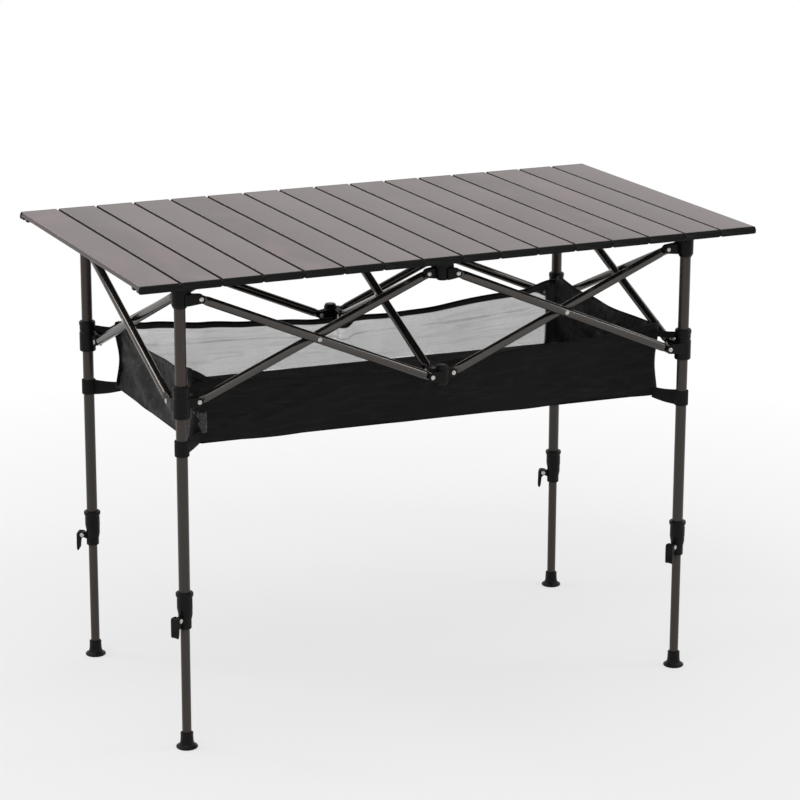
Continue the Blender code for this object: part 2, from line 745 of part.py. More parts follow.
def basket_shell():
    """The cloth as one sheet of rings round the walls and a fan of rings over the floor, then given its thickness."""
    outline = basket_outline()
    levels = [1.0, 0.75, 0.4, 0.0]
    shrink = [0.80, 0.42]
    bm = bmesh.new()
    rings = [[bm.verts.new(basket_wall_point(*point, level)) for point in outline] for level in levels]
    half_x, half_y = LEG_X - BASKET_INSET, LEG_Y - BASKET_INSET
    for factor in shrink:
        ring = []
        for vert in rings[len(levels) - 1]:
            x, y = vert.co.x * factor, vert.co.y * factor
            z = basket_floor_point(x / half_x, y / half_y, TOP_HEIGHT - BASKET_FLOOR_DEPTH)
            ring.append(bm.verts.new((x, y, z)))
        rings.append(ring)
    for upper, lower in zip(rings, rings[1:]):
        for i in range(len(outline)):
            j = (i + 1) % len(outline)
            bm.faces.new([upper[i], lower[i], lower[j], upper[j]])
    bottom = basket_floor_point(0, 0, TOP_HEIGHT - BASKET_FLOOR_DEPTH)
    centre = bm.verts.new((0, 0, bottom))
    for i in range(len(outline)):
        bm.faces.new([rings[-1][i], centre, rings[-1][(i + 1) % len(outline)]])
    mesh = finish_mesh(bm, "basket")
    work = bpy.data.objects.new("cloth", mesh)
    bpy.context.scene.collection.objects.link(work)
    wall = work.modifiers.new("cloth", "SOLIDIFY")
    wall.thickness = BASKET_CLOTH
    wall.offset = -1
    bpy.context.view_layer.update()
    shell = bpy.data.meshes.new_from_object(work.evaluated_get(bpy.context.evaluated_depsgraph_get()))
    bpy.data.objects.remove(work, do_unlink=True)
    return shell


def strap(low_depth, width, inner, outer, turn, corner):
    """A flat band on edge that runs from inner to outer along the diagonal of a corner."""
    frame = Matrix.Translation(COLUMNS[corner]) @ Matrix.Rotation(turn, 4, "Z")
    half = WEBBING_THICKNESS / 2
    outline = [(inner, -half), (outer, -half), (outer, half), (inner, half)]
    return prism(outline, TOP_HEIGHT - low_depth - width, TOP_HEIGHT - low_depth, frame)


def band(radius, low_depth, width, corner):
    """A webbing loop round a leg or a slider."""
    low, high = TOP_HEIGHT - low_depth - width, TOP_HEIGHT - low_depth
    outer = radius + WEBBING_THICKNESS
    profile = [(outer, high), (outer, low), (radius, low), (radius, high)]
    return turned(profile, ROUND_SIDES, Matrix.Translation(COLUMNS[corner]))


def build_basket(finish):
    """Cloth box, the webbing loop round each leg, and the hanger from each slider."""
    diagonal = math.sqrt(2) * (BASKET_INSET + BASKET_CORNER_CUT / 2)
    around_leg = LEG_RADIUS + CLEARANCE
    around_slider = SLIDER_RADIUS + SLIDER_LIP + CLEARANCE
    shapes = []
    for corner, (x, y) in CORNERS.items():
        turn = math.atan2(-y, -x)
        end = diagonal + BASKET_CLOTH / 2
        shapes.append(band(around_leg, WEBBING_LOOP_DEPTH, WEBBING_WIDTH, corner))
        shapes.append(strap(WEBBING_LOOP_DEPTH, WEBBING_WIDTH, around_leg + WEBBING_THICKNESS / 4, end, turn, corner))
        shapes.append(strap(HANGER_DEPTH, HANGER_WIDTH, around_slider, end, turn, corner))
    mesh = joined(basket_shell(), *shapes)
    mesh.name = "basket"
    place("basket", mesh, finish)


def build():
    clear_scene()
    slats = material("slat_anodised", (0.250, 0.228, 0.226), 0.42, 0.85)
    tubes = material("brace_painted", (0.062, 0.056, 0.052), 0.38, 0.60)
    leg_tubes = material("leg_painted", (0.046, 0.040, 0.036), 0.40, 0.60)
    plastic = material("moulded_black", (0.010, 0.010, 0.009), 0.48, 0.0)
    cloth = material("basket_cloth", (0.012, 0.012, 0.013), 0.85, 0.0)
    build_top(slats)
    for column in COLUMNS:
        upper_hub(column, plastic)
        lower_hub(column, plastic)
    build_braces(tubes)
    build_legs(leg_tubes, leg_tubes, plastic)
    build_basket(cloth)


build()
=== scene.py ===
# %% [markdown]
# # A folding camp table, dressed over its CAD frame
#
# The table has a top of sixteen aluminium slats that rolls up, a scissor frame of seven crossed pairs of
# tubes, four telescopic legs with flip locks, and a fabric basket that hangs inside the frame. The CAD frame
# gives every joint and every place, and this script builds the finished surfaces over it, one kind of piece
# at a time: the camera first, then the tools for surfaces and finishes, then the pieces.

import bmesh
import bpy
import numpy as np
from mathutils import Matrix, Vector


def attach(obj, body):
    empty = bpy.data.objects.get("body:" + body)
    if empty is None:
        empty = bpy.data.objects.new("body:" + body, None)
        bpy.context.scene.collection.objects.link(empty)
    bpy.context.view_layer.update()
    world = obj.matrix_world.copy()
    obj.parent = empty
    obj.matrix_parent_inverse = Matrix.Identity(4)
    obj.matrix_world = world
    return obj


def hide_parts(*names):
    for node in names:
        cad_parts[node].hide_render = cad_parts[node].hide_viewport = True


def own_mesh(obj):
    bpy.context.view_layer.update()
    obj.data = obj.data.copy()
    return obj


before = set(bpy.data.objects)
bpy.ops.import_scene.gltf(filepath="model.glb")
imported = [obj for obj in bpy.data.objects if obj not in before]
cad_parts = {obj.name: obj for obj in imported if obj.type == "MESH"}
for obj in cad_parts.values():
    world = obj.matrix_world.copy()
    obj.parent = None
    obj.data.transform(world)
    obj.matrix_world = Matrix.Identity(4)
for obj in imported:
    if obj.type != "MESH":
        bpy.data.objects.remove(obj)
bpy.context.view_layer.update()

# %% [markdown]
# ## Sizes
#
# The pieces meet the CAD solids, so the same named sizes drive both. All are metres. Depths are measured down
# from the tabletop, because that is how such a table is drawn: the legs only decide how high it stands.

# %% Sizes of the top and the frame
TOP_HEIGHT, TOP_LENGTH, TOP_DEPTH = 0.690, 0.950, 0.531
SLATS = 16
PITCH = TOP_LENGTH / SLATS
CLEARANCE = 0.0003

LEG_INSET = 0.0640
CORNER_ARM, CENTRE_ARM = 0.0275, 0.0195
LEG_Y = TOP_DEPTH / 2 - LEG_INSET
BRACE_SPAN = 2 * (LEG_Y - CORNER_ARM)
LEG_X = CORNER_ARM + BRACE_SPAN + CENTRE_ARM
BRACE_RISE = 0.1485
BRACE_LENGTH = float(np.hypot(BRACE_SPAN, BRACE_RISE))
BRACE_SLOPE = float(np.arctan2(BRACE_RISE, BRACE_SPAN))
BRACE_RADIUS = 0.0065
BRACE_OFFSET = BRACE_RADIUS + CLEARANCE / 2
UPPER_Z = TOP_HEIGHT - 0.0385
LOWER_Z = UPPER_Z - BRACE_RISE
LEG_RADIUS, INNER_LEG_RADIUS = 0.0080, 0.0066

CORNERS = {"front_left": (-1, -1), "front_right": (1, -1), "back_left": (-1, 1), "back_right": (1, 1)}
SIDES = {**CORNERS, "front_centre": (0, -1), "back_centre": (0, 1)}
COLUMNS = {name: np.array([x * LEG_X, y * LEG_Y, 0.0]) for name, (x, y) in SIDES.items()}
CROSSED_PAIRS = {
    "front_left": ("front_centre", "front_left"),
    "front_right": ("front_centre", "front_right"),
    "centre": ("front_centre", "back_centre"),
    "back_left": ("back_centre", "back_left"),
    "back_right": ("back_centre", "back_right"),
    "end_left": ("front_left", "back_left"),
    "end_right": ("front_right", "back_right"),
}
print(f"legs stand at x {LEG_X:.4f}, y {LEG_Y:.4f}; braces are {BRACE_LENGTH:.4f} long")

# %% [markdown]
# ## Camera
#
# The photograph is taken from the front left, a little above the top, with a long lens: opposite edges of the
# top stay nearly parallel. Angles, distance and lens were fitted to the corners of the top and to the feet.
# The subject isn't in the middle of the picture, so the lens is shifted, and the camera isn't turned away.

# %% The camera
AZIMUTH, ELEVATION, ROLL = np.radians([-24.293, 14.866, 0.103])
AIM, DISTANCE = Vector((0, 0, 0.4739)), 4.1919
PICTURE_PIXELS, FOCAL_PIXELS = 800, 2811.3
CENTRE_RIGHT, CENTRE_DOWN = 383.68, 360.97
SENSOR = 36.0

back = Vector((np.sin(AZIMUTH) * np.cos(ELEVATION), -np.cos(AZIMUTH) * np.cos(ELEVATION), np.sin(ELEVATION)))
lens = bpy.data.cameras.new("camera")
lens.sensor_width, lens.lens = SENSOR, FOCAL_PIXELS / PICTURE_PIXELS * SENSOR
lens.shift_x = (PICTURE_PIXELS / 2 - CENTRE_RIGHT) / PICTURE_PIXELS
lens.shift_y = (CENTRE_DOWN - PICTURE_PIXELS / 2) / PICTURE_PIXELS
camera = bpy.data.objects.new("camera", lens)
bpy.context.scene.collection.objects.link(camera)
turn = (-back).to_track_quat("-Z", "Y").to_matrix() @ Matrix.Rotation(ROLL, 3, "Z")
camera.matrix_world = Matrix.Translation(AIM + back * DISTANCE) @ turn.to_4x4()
bpy.context.scene.camera = camera
print("camera looks at", [round(x, 4) for x in AIM], "from", DISTANCE)

# %% [markdown]
# ## Surfaces as arrays
#
# A surface is a grid of points: rows along one direction and columns along the other. Its faces are the
# squares between neighbours, so they come from the point numbers alone, for the whole grid at once. A piece
# is often several such patches, and `Shape` collects them with their texture coordinates.


# %% Grids and shapes
def lengths(vectors):
    """Size of each vector, sqrt(x^2 + y^2 + z^2)."""
    return np.linalg.norm(vectors, axis=-1)


def distances(line):
    """Distance run along a line at each of its points: the sum of the steps before it."""
    return np.r_[0, lengths(np.diff(line, axis=0)).cumsum()]


def spread(rows, cols):
    """A grid of the pairs (row value, column value)."""
    return np.stack(np.meshgrid(rows, cols, indexing="ij"), -1)


class Shape:
    """The patches of one piece."""

    def __init__(self):
        self.points, self.faces, self.uvs, self.count = [], [], [], 0

    def grid(self, points, wrap_rows=False, wrap_cols=False, ends=False, uv=None):
        """Adds a patch. Point (r, c) has the number r * cols + c, and a wrapped side joins its last points to
        its first. With ends, the first and last rows are closed by a face each."""
        rows, cols = points.shape[:2]
        if uv is None:
            uv = spread(np.arange(rows + 1) / rows, np.arange(cols + 1) / cols)
        r, c = np.meshgrid(np.arange(rows - (not wrap_rows)), np.arange(cols - (not wrap_cols)), indexing="ij")
        around = ((0, 0), (0, 1), (1, 1), (1, 0))
        quads = np.stack([(r + i) % rows * cols + (c + j) % cols for i, j in around], -1).reshape(-1, 4)
        self.faces += (quads + self.count).tolist()
        self.uvs.append(np.stack([uv[r + i, c + j] for i, j in around], -2).reshape(-1, 2))
        if ends:
            first, last = np.arange(cols)[::-1], np.arange(cols) + (rows - 1) * cols
            self.faces += [(first + self.count).tolist(), (last + self.count).tolist()]
            self.uvs += [uv[0, :cols][::-1], uv[rows - 1, :cols]]
        self.points.append(points.reshape(-1, 3))
        self.count += rows * cols
        return self


print("one square has the faces", Shape().grid(np.zeros((2, 2, 3))).faces)

# %% [markdown]
# ## From a shape to a piece of the table
#
# Every finished piece stands at the origin, with its place in its mesh, and rides on one body of the CAD
# frame. Closed pieces get their faces turned outwards by Blender, which is safer than counting on the order
# of points. Round sides are shaded smooth, and an edge stays sharp where it bends by over the crease angle.


# %% Making a piece
def make_piece(name, shape, finish, body, node, closed=True, crease=38):
    """Puts a shape into a mesh object that rides on a body and stands for a CAD node."""
    mesh = bpy.data.meshes.new(name)
    mesh.from_pydata(np.concatenate(shape.points), [], shape.faces)
    uv = np.concatenate(shape.uvs).astype(np.float32)
    mesh.uv_layers.new(name="UVMap").data.foreach_set("uv", uv.ravel())
    if closed:
        work = bmesh.new()
        work.from_mesh(mesh)
        bmesh.ops.recalc_face_normals(work, faces=work.faces)
        work.to_mesh(mesh)
        work.free()
    mesh.materials.append(finish)
    mesh.shade_smooth()
    mesh.set_sharp_from_angle(angle=np.radians(crease))
    piece = bpy.data.objects.new(name, mesh)
    bpy.context.scene.collection.objects.link(piece)
    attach(piece, body)
    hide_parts(node)
    return piece


def make_each(what, make, names):
    """Makes one of a kind for each name, and prints how many there are."""
    for name in names:
        make(name)
    print(what, len(names))


# %% [markdown]
# ## Outlines, slabs and turned forms
#
# Moulded parts have no knife edges. `soften` rounds the corners of an outline, and `slab` gives an outline a
# thickness with rounded rims: each rim is a short stack of rings that step inwards along a quarter circle.
# `turned` spins a profile about an axis, as a lathe does, for hubs, collars, feet, tubes and rivet heads.


# %% Outlines
def soften(corners, radius, steps=4):
    """A closed outline with its corners rounded: each becomes a curve from cut to cut, bent towards the
    corner, (1-t)^2 start + 2t(1-t) corner + t^2 end, and a cut is never over 0.45 of its side."""
    corners = np.asarray(corners, float)
    before, after = np.roll(corners, 1, 0) - corners, np.roll(corners, -1, 0) - corners
    reach = np.minimum(lengths(before), lengths(after)) * 0.45
    cut = np.minimum(np.broadcast_to(radius, reach.shape), reach)[:, None]
    start = corners + before / lengths(before)[:, None] * cut
    end = corners + after / lengths(after)[:, None] * cut
    t = np.linspace(0, 1, steps + 1)[None, :, None]
    curve = (1 - t) ** 2 * start[:, None] + 2 * t * (1 - t) * corners[:, None] + t**2 * end[:, None]
    return curve.reshape(-1, 2)


def inset(outline, amount):
    """An outline drawn in by an amount: every point moves square to the line through its two neighbours."""
    along = np.roll(outline, -1, 0) - np.roll(outline, 1, 0)
    normal = np.stack([-along[:, 1], along[:, 0]], 1) / lengths(along)[:, None]
    x, y = outline.T
    area = np.sum(x * np.roll(y, -1) - np.roll(x, -1) * y)
    return outline + normal * amount * (1 if area > 0 else -1)


def mirrored(half, flip=(-1, 1)):
    """An outline of a half and its mirror image, across the line x = 0 or, with flip (1, -1), y = 0."""
    half = np.asarray(half, float)
    return np.r_[half, half[::-1] * flip]


def arc(radius, start, end, steps, centre=(0, 0)):
    """Points on an arc: centre + radius (cos, sin) of evenly spaced angles, given in degrees."""
    angle = np.radians(np.linspace(start, end, steps))
    return np.stack([centre[0] + radius * np.cos(angle), centre[1] + radius * np.sin(angle)], 1)


# %% Slabs
def axes_of(x_axis, y_axis):
    """Three axes as the rows of a matrix: the third is square to the two given."""
    x_axis, y_axis = np.asarray(x_axis, float), np.asarray(y_axis, float)
    return np.stack([x_axis, y_axis, np.cross(x_axis, y_axis)])


UP = (0, 0, 1)
UPRIGHT = np.eye(3)
RIM_RINGS = 4


def slab(shape, outline, start, end, axes, origin, edge, dish=0.0):
    """An outline from start to end along the third axis, its rims rounded by a quarter circle of the size of
    edge. With dish, the faces sink by that much inside a narrow border, as moulded parts often do."""
    low, high = sorted((start, end))
    k = np.linspace(0, np.pi / 2, RIM_RINGS)
    heights, insets = low + edge * (1 - np.cos(k)), edge * (1 - np.sin(k))
    if dish:
        heights = np.r_[low + dish, low + dish * 0.3, heights]
        insets = np.r_[edge + 4 * dish, edge + 3 * dish, insets]
    heights, insets = np.r_[heights, (low + high) - heights[::-1]], np.r_[insets, insets[::-1]]
    rings = [np.c_[inset(outline, i), np.full(len(outline), h)] for h, i in zip(heights, insets)]
    shape.grid(np.stack(rings) @ axes + np.asarray(origin), wrap_cols=True, ends=True)


# %% Turned forms
def turned(shape, profile, sides, axes, origin, loop=False, bend=None):
    """A profile of (radius, height) spun about the third axis: (r cos a, r sin a, h) for the angles of all
    sides. A loop joins its last point to its first, as in a tube, and bend may move the grid first."""
    profile = np.asarray(profile, float)
    angle = np.linspace(0, 2 * np.pi, sides, endpoint=False)
    r, h = profile[:, :1], profile[:, 1:]
    grid = np.stack([r * np.cos(angle), r * np.sin(angle), h + 0 * angle], -1)
    if bend is not None:
        grid = bend(grid, angle)
    uv = spread(np.r_[profile[:, 1], profile[0, 1]], np.linspace(0, 1, sides + 1))
    shape.grid(grid @ axes + np.asarray(origin), wrap_rows=loop, wrap_cols=True, ends=not loop, uv=uv)


def rounded_profile(points, radius):
    """An open profile with its inner corners rounded like an outline's, and its two ends left as they are."""
    points, steps = np.asarray(points, float), 3
    soft = soften(points, radius, steps).reshape(len(points), steps + 1, 2)
    return np.concatenate([points[:1], soft[1:-1].reshape(-1, 2), points[-1:]])


print("a rounded square has", len(soften([(0, 0), (1, 0), (1, 1), (0, 1)], 0.1)), "points")

# %% [markdown]
# ## Finishes as expressions
#
# A finish is a small calculation on the surface: where am I, how worn is this spot, how bright is it. Blender
# draws it as nodes. `Flow` lets the calculation be written as arithmetic, and each sign adds its node.


# %% Node arithmetic
def operation(name):
    """A method that adds the Math node of one operation to the value it is called on."""
    return lambda self, *others: self.math(name, *others)


class Flow:
    """A value that flows out of a node. Arithmetic on it adds Math nodes."""

    def __init__(self, finish, socket):
        self.finish, self.socket = finish, socket

    def math(self, name, *others):
        """The Math node of one operation on this value and others."""
        return self.finish.node("Math", dict(enumerate((self, *others))), operation=name)

    def __rsub__(self, other):
        return self.finish.node("Math", {0: other, 1: self}, operation="SUBTRACT")

    __add__ = __radd__ = operation("ADD")
    __mul__ = __rmul__ = operation("MULTIPLY")
    __sub__, __truediv__ = operation("SUBTRACT"), operation("DIVIDE")
    power, sine, size = operation("POWER"), operation("SINE"), operation("ABSOLUTE")
    floor, larger = operation("FLOOR"), operation("MAXIMUM")

    def ramp(self, low, high, to_low=0.0, to_high=1.0):
        """Straight from to_low at low to to_high at high, and level outside."""
        values = {"Value": self, "From Min": low, "From Max": high, "To Min": to_low, "To Max": to_high}
        return self.finish.node("MapRange", values, clamp=True)

    def output(self, key):
        """Another output of the node that this value comes from."""
        return Flow(self.finish, self.socket.node.outputs[key])


# %% Making nodes
class Finish:
    """The nodes of a material or of the world, and the one method that makes them."""

    def __init__(self, name, kind="materials", shader="Principled BSDF"):
        self.owner = getattr(bpy.data, kind).new(name)
        self.owner.use_nodes = True
        self.tree = self.owner.node_tree
        self.shader = self.tree.nodes[shader]

    def node(self, kind, values, out=0, **settings):
        """Adds a node. Its settings come first, then the values or links of its sockets."""
        made = self.tree.nodes.new("ShaderNode" + kind)
        for key, value in settings.items():
            setattr(made, key, value)
        for key, value in values.items():
            self.feed(made.inputs[key], value)
        return Flow(self, made.outputs[out])

    def feed(self, socket, value):
        """Gives a socket a link, a number, or a tuple that is filled up with ones: a colour's fourth is 1."""
        if isinstance(value, Flow):
            self.tree.links.new(value.socket, socket)
        elif isinstance(value, tuple):
            socket.default_value = value + (1.0,) * (len(socket.default_value) - len(value))
        else:
            socket.default_value = value

    def set(self, **sockets):
        """Feeds the shader's own sockets."""
        for name, value in sockets.items():
            self.feed(self.shader.inputs[name.replace("_", " ")], value)

    def place(self, scale=(1, 1, 1), uv=False):
        """Object coordinates in metres, or the piece's UV map, stretched by a scale."""
        where = self.node("UVMap", {}, uv_map="UVMap") if uv else self.node("TexCoord", {}, out="Object")
        return self.node("Mapping", {"Vector": where, "Scale": scale})

    def parts(self, uv=False):
        """The three numbers of a place."""
        split = self.node("SeparateXYZ", {"Vector": self.place(uv=uv)})
        return [split.output(i) for i in range(3)]

    def noise(self, scale, detail=3.0, rough=0.55, uv=False):
        """Soft noise between 0 and 1, with scale patches in a metre along each coordinate."""
        values = {"Vector": self.place(scale, uv), "Scale": 1.0, "Detail": detail, "Roughness": rough}
        return self.node("TexNoise", values)

    def chance(self, number):
        """One random value for each number."""
        return self.node("TexWhiteNoise", {"W": number}, noise_dimensions="1D")

    def mix(self, share, first, second):
        """A colour between two, by a share from 0 to 1."""
        return self.node("Mix", {0: share, 6: first, 7: second}, out=2, data_type="RGBA")

    def bump(self, height, strength, distance):
        """Tilts the shading by a height, as if the surface rose by it."""
        self.set(Normal=self.node("Bump", {"Height": height, "Strength": strength, "Distance": distance}))


def times(factor, colour):
    """A colour made brighter by a factor."""
    return tuple(factor * x for x in colour)


print("a colour made twice as bright", times(2, (0.10, 0.12, 0.14)))

# %% [markdown]
# ## Anodised slats
#
# The slats are extruded aluminium with a thin brown-grey anodised skin. It shows fine grain along the
# extrusion, small differences of tone from slat to slat, faint clouds where hands and cups have been, and bare
# metal where the long edges have rubbed. Shade is painted into the colour below the upper face, deepest in the
# gaps between slats. All of it reads the place on the table, so the sixteen slats share one finish.


# %% The slats' finish
def slat_finish():
    """rubbed is bare metal along the edges. below marks what lies under the upper face, and seam marks the gap
    between two slats: both carry painted shade, darkest in the gap."""
    made = Finish("slat_anodised")
    x, y, z = made.parts()
    number = ((x + TOP_LENGTH / 2) / PITCH).floor()
    tone, warmth = made.chance(number), made.chance(number + 40.5)
    grain = made.noise((2600, 18, 2600), 4)
    clouds, blush = made.noise((9, 5, 9)), made.noise((16, 7, 16), 2)
    from_middle = (x - (number + 0.5) * PITCH + TOP_LENGTH / 2).size()
    # Painted shade: below and seam mask where the colour is darkened, under the upper face and most in the
    # gaps.
    below = (TOP_HEIGHT - z).ramp(0.0007, 0.0016)
    rubbed = from_middle.ramp(0.0258, 0.0270) * made.noise((120, 300, 120), 5).ramp(0.42, 0.62) * (1 - below)
    on_top = 1 - x.size().ramp(TOP_LENGTH / 2 - 0.0040, TOP_LENGTH / 2 - 0.0036)
    seam = from_middle.ramp(0.0262, 0.0268) * on_top
    cloudy = clouds.ramp(0.3, 0.7)
    colour = made.mix(tone * 0.60 + cloudy * 0.40, (0.128, 0.109, 0.106), (0.200, 0.168, 0.167))
    colour = made.mix(blush.ramp(0.46, 0.66) * 0.75 * warmth, colour, (0.214, 0.156, 0.162))
    colour = made.mix(grain.ramp(0.25, 0.75) * 0.14, colour, (0.31, 0.285, 0.28))
    colour = made.mix(rubbed * 0.6, colour, (0.52, 0.50, 0.48))
    # Painted shade, deepest in the gaps between slats.
    colour = made.mix(below * (0.45 + seam * 0.55), colour, (0.020, 0.016, 0.015))
    made.set(Base_Color=colour, Metallic=0.35, Specular_IOR_Level=0.4)
    made.set(Roughness=clouds.ramp(0.3, 0.7, 0.40, 0.50) + grain * 0.06)
    made.bump(grain, 0.10, 0.0002)
    return made.owner


slat_metal = slat_finish()
print("finish", slat_metal.name)

# %% [markdown]
# ## Moulded plastic
#
# Hubs, sliders, locks, feet and slat caps are glass-filled nylon: nearly black, satin, with a fine
# spark-eroded grain. Handling polishes it in patches, and dust leaves lighter flecks. Noise at three scales
# gives all of this, in the metres of the table, so every moulding has its own marks.


# %% The plastic's finish
def plastic_finish():
    """patches are polished by handling, and flecks are dust."""
    made, base = Finish("moulded_black"), (0.0034, 0.0034, 0.0031)
    grain = made.noise((1500, 1500, 1500))
    patches = made.noise((55, 55, 55))
    flecks = made.noise((700, 700, 700), 2)
    colour = made.mix(patches.ramp(0.40, 0.72) * 0.5, base, times(2.1, base))
    colour = made.mix(flecks.ramp(0.62, 0.80) * 0.35, colour, (0.018, 0.017, 0.016))
    made.set(Base_Color=colour, Roughness=patches.ramp(0.3, 0.7, 0.34, 0.50), Specular_IOR_Level=0.13)
    made.bump(grain + flecks * 0.5, 0.22, 0.0003)
    return made.owner


black_plastic = plastic_finish()
print("finish", black_plastic.name)

# %% [markdown]
# ## Painted tubes
#
# Braces and legs are steel tube under a thin satin coat. The drawn tube shows through as faint lines along
# its length, so the pattern follows the tube: its texture coordinates run along it and around it. Brownish
# streaky patches in the colour are a painted reflection of the surroundings, and the coat is scuffed to the
# metal where parts rub.


# %% The tubes' finishes
def tube_finish(name, base, reflected_tint, metallic, rough, reflected_tint_share):
    """lines come from drawing the tube, scuffs from use and specks from the paint. Brownish streaky patches
    are a painted reflection of the surroundings, and their noise also varies the roughness.
    """
    made = Finish(name)
    lines = made.noise((7, 14, 1), uv=True)
    reflection_streaks = made.noise((3.5, 2.2, 1), uv=True)
    scuffs = made.noise((260, 40, 1), 5, 0.65, uv=True)
    specks = made.noise((900, 900, 900), 2)
    # Painted reflection: the brownish tint stands in for the surroundings mirrored in the coat.
    colour = made.mix(reflection_streaks.ramp(0.42, 0.66) * reflected_tint_share, base, reflected_tint)
    colour = made.mix(lines.ramp(0.35, 0.75) * 0.25, colour, times(1.75, base))
    colour = made.mix(scuffs.ramp(0.64, 0.76) * 0.5, colour, (0.19, 0.18, 0.17))
    made.set(Base_Color=colour, Metallic=metallic)
    made.set(Roughness=rough + reflection_streaks.ramp(0.3, 0.7, -0.04, 0.06) + scuffs.ramp(0.6, 0.8) * 0.08)
    made.bump(lines * 0.6 + specks * 0.4, 0.06, 0.0002)
    return made.owner


# Each pair is a base colour and the brownish tint of its painted reflection.
grey, brown = ((0.070, 0.065, 0.061), (0.066, 0.052, 0.047)), ((0.036, 0.032, 0.027), (0.050, 0.030, 0.024))
brace_paint = tube_finish("brace_satin_grey", *grey, metallic=0.88, rough=0.20, reflected_tint_share=0.6)
leg_paint = tube_finish("leg_satin_brown", *brown, metallic=0.45, rough=0.36, reflected_tint_share=0.75)
print("finishes", brace_paint.name, leg_paint.name)

# %% [markdown]
# ## Bright rivets
#
# The pivots are zinc-plated rivets, the only bright things on the table. They are small, so their finish only
# has to be metal with a little brushing and dulling, and their shape makes the highlight.


# %% The rivets' finish
def rivet_finish():
    made = Finish("rivet_zinc")
    brushed, dull = made.noise((2200, 2200, 300)), made.noise((420, 420, 420))
    colour = made.mix(dull.ramp(0.4, 0.7), (0.56, 0.54, 0.51), (0.34, 0.32, 0.30))
    made.set(Base_Color=colour, Metallic=0.85, Roughness=dull.ramp(0.3, 0.7, 0.24, 0.42) + brushed * 0.05)
    made.bump(brushed, 0.08, 0.0002)
    return made.owner


rivet_metal = rivet_finish()
print("finish", rivet_metal.name)

# %% [markdown]
# ## Slats
#
# A slat is one extrusion: a flat top with softly rounded long edges, a side wall that turns down on each side,
# a foot that reaches out under the seam to meet its neighbour, and two ribs beneath that keep it stiff.
# Its section is drawn once and carried straight along the slat.


# %% Section of a slat
def slat_section():
    """The right half as corners (across, height from the top), from the top down, and its mirror image."""
    right = [
        (0.02710, 0), (0.02710, -0.0040), (0.02895, -0.0046), (0.02895, -0.0060), (0.0256, -0.0060),
        (0.0256, -0.0016), (0.0130, -0.0016), (0.0130, -0.0042), (0.0118, -0.0042), (0.0118, -0.0016),
    ]
    radii = np.array([0.0009, 0.0006, 0.0002, 0.0003, 0.0004, 0.0006, 0.0004, 0.0003, 0.0003, 0.0004])
    return soften(mirrored(right), np.r_[radii, radii[::-1]])


def slat_place(number):
    """The middle of a slat, on its upper face."""
    return (-TOP_LENGTH / 2 + (number - 0.5) * PITCH, 0, TOP_HEIGHT)


TOP_AXES = axes_of((1, 0, 0), UP)
print("the section of a slat has", len(slat_section()), "points")


# %% The sixteen slats
CAP_WALL = 0.0030


def make_slat(number):
    shape, outline, node = Shape(), slat_section(), f"slat_{number:02d}"
    reach = TOP_DEPTH / 2 - CAP_WALL
    rings = [np.c_[outline, np.full(len(outline), y)] for y in np.linspace(-reach, reach, 5)]
    shape.grid(np.stack(rings) @ TOP_AXES + slat_place(number), wrap_cols=True, ends=True)
    make_piece(f"slat_plate_{number:02d}", shape, slat_metal, node, node)


make_each("slats", make_slat, range(1, SLATS + 1))

# %% [markdown]
# ## Slat caps
#
# Each end of a slat is closed by a moulded cap: an end wall with a shallow dished face, a foot behind it that
# plugs the extrusion, and a short keel further in. The elastic cord runs through the gap between foot and keel
# and is hidden there. The row of caps makes the black band under the edge of the top.


# %% The caps
def make_caps(number):
    """Each slab is drawn by its outline, how far its two faces lie in from the end, its edge and its dish."""
    shape, node, end = Shape(), f"slat_{number:02d}", TOP_DEPTH / 2
    wall = soften(mirrored([(0.0275, 0), (0.0295, -0.0048), (0.0295, -0.0096), (0.0272, -0.0108)]), 0.0012)
    plug = mirrored([(0.0258, -0.0018), (0.0258, -0.0056), (0.0288, -0.0062), (0.0282, -0.0103)])
    plug = soften(plug, 0.0008)
    foot, keel = (plug, 0.0140, CAP_WALL, 0.0005, 0), (plug, 0.0330, 0.0250, 0.0005, 0)
    for side in (-1, 1):
        for outline, far, near, edge, dish in ((wall, 0.0036, 0, 0.0006, 0.0004), foot, keel):
            faces = -side * (end - far), -side * (end - near)
            slab(shape, outline, *faces, TOP_AXES, slat_place(number), edge, dish)
    make_piece(f"slat_caps_{number:02d}", shape, black_plastic, node, node)


make_each("pairs of caps", make_caps, range(1, SLATS + 1))

# %% [markdown]
# ## Forks and rivets
#
# Every hub and slider holds the tube ends in forks: two ears on a solid root, with a rivet through ears and
# tube. Upper hubs hold their tubes to one side of the line between two columns and lower ones to the other
# side, so the two tubes of a crossed pair slide past each other.


# %% Directions between columns
def heading(start, end):
    """The level direction from one column to another, along the table or straight across it."""
    apart = COLUMNS[end] - COLUMNS[start]
    return np.round(apart / lengths(apart))


def right_of(direction):
    """The level direction to the right of another, seen from above."""
    return np.array([direction[1], -direction[0], 0.0])


def arm_reach(column, direction):
    """How far a fork's pivot stands from its column: the arms along the table at a centre hub are shorter."""
    return CENTRE_ARM if column.endswith("centre") and abs(direction[0]) > 0.5 else CORNER_ARM


def arm_directions(column):
    """The headings from a column to those that its tubes run to."""
    pairs = [pair for pair in CROSSED_PAIRS.values() if column in pair]
    return [heading(column, pair[1 - pair.index(column)]) for pair in pairs]


print("arms", {column: len(arm_directions(column)) for column in COLUMNS})

# %% A fork and its rivet
EAR_NEAR, EAR_FAR = 0.0030, 0.0054
RIVET_RADIUS, SHANK_RADIUS, PIN_RADIUS = 0.0034, 0.0017, 0.0018
NEAR_AXIS, BESIDE_LEG = 0.0034, LEG_RADIUS + 0.0008


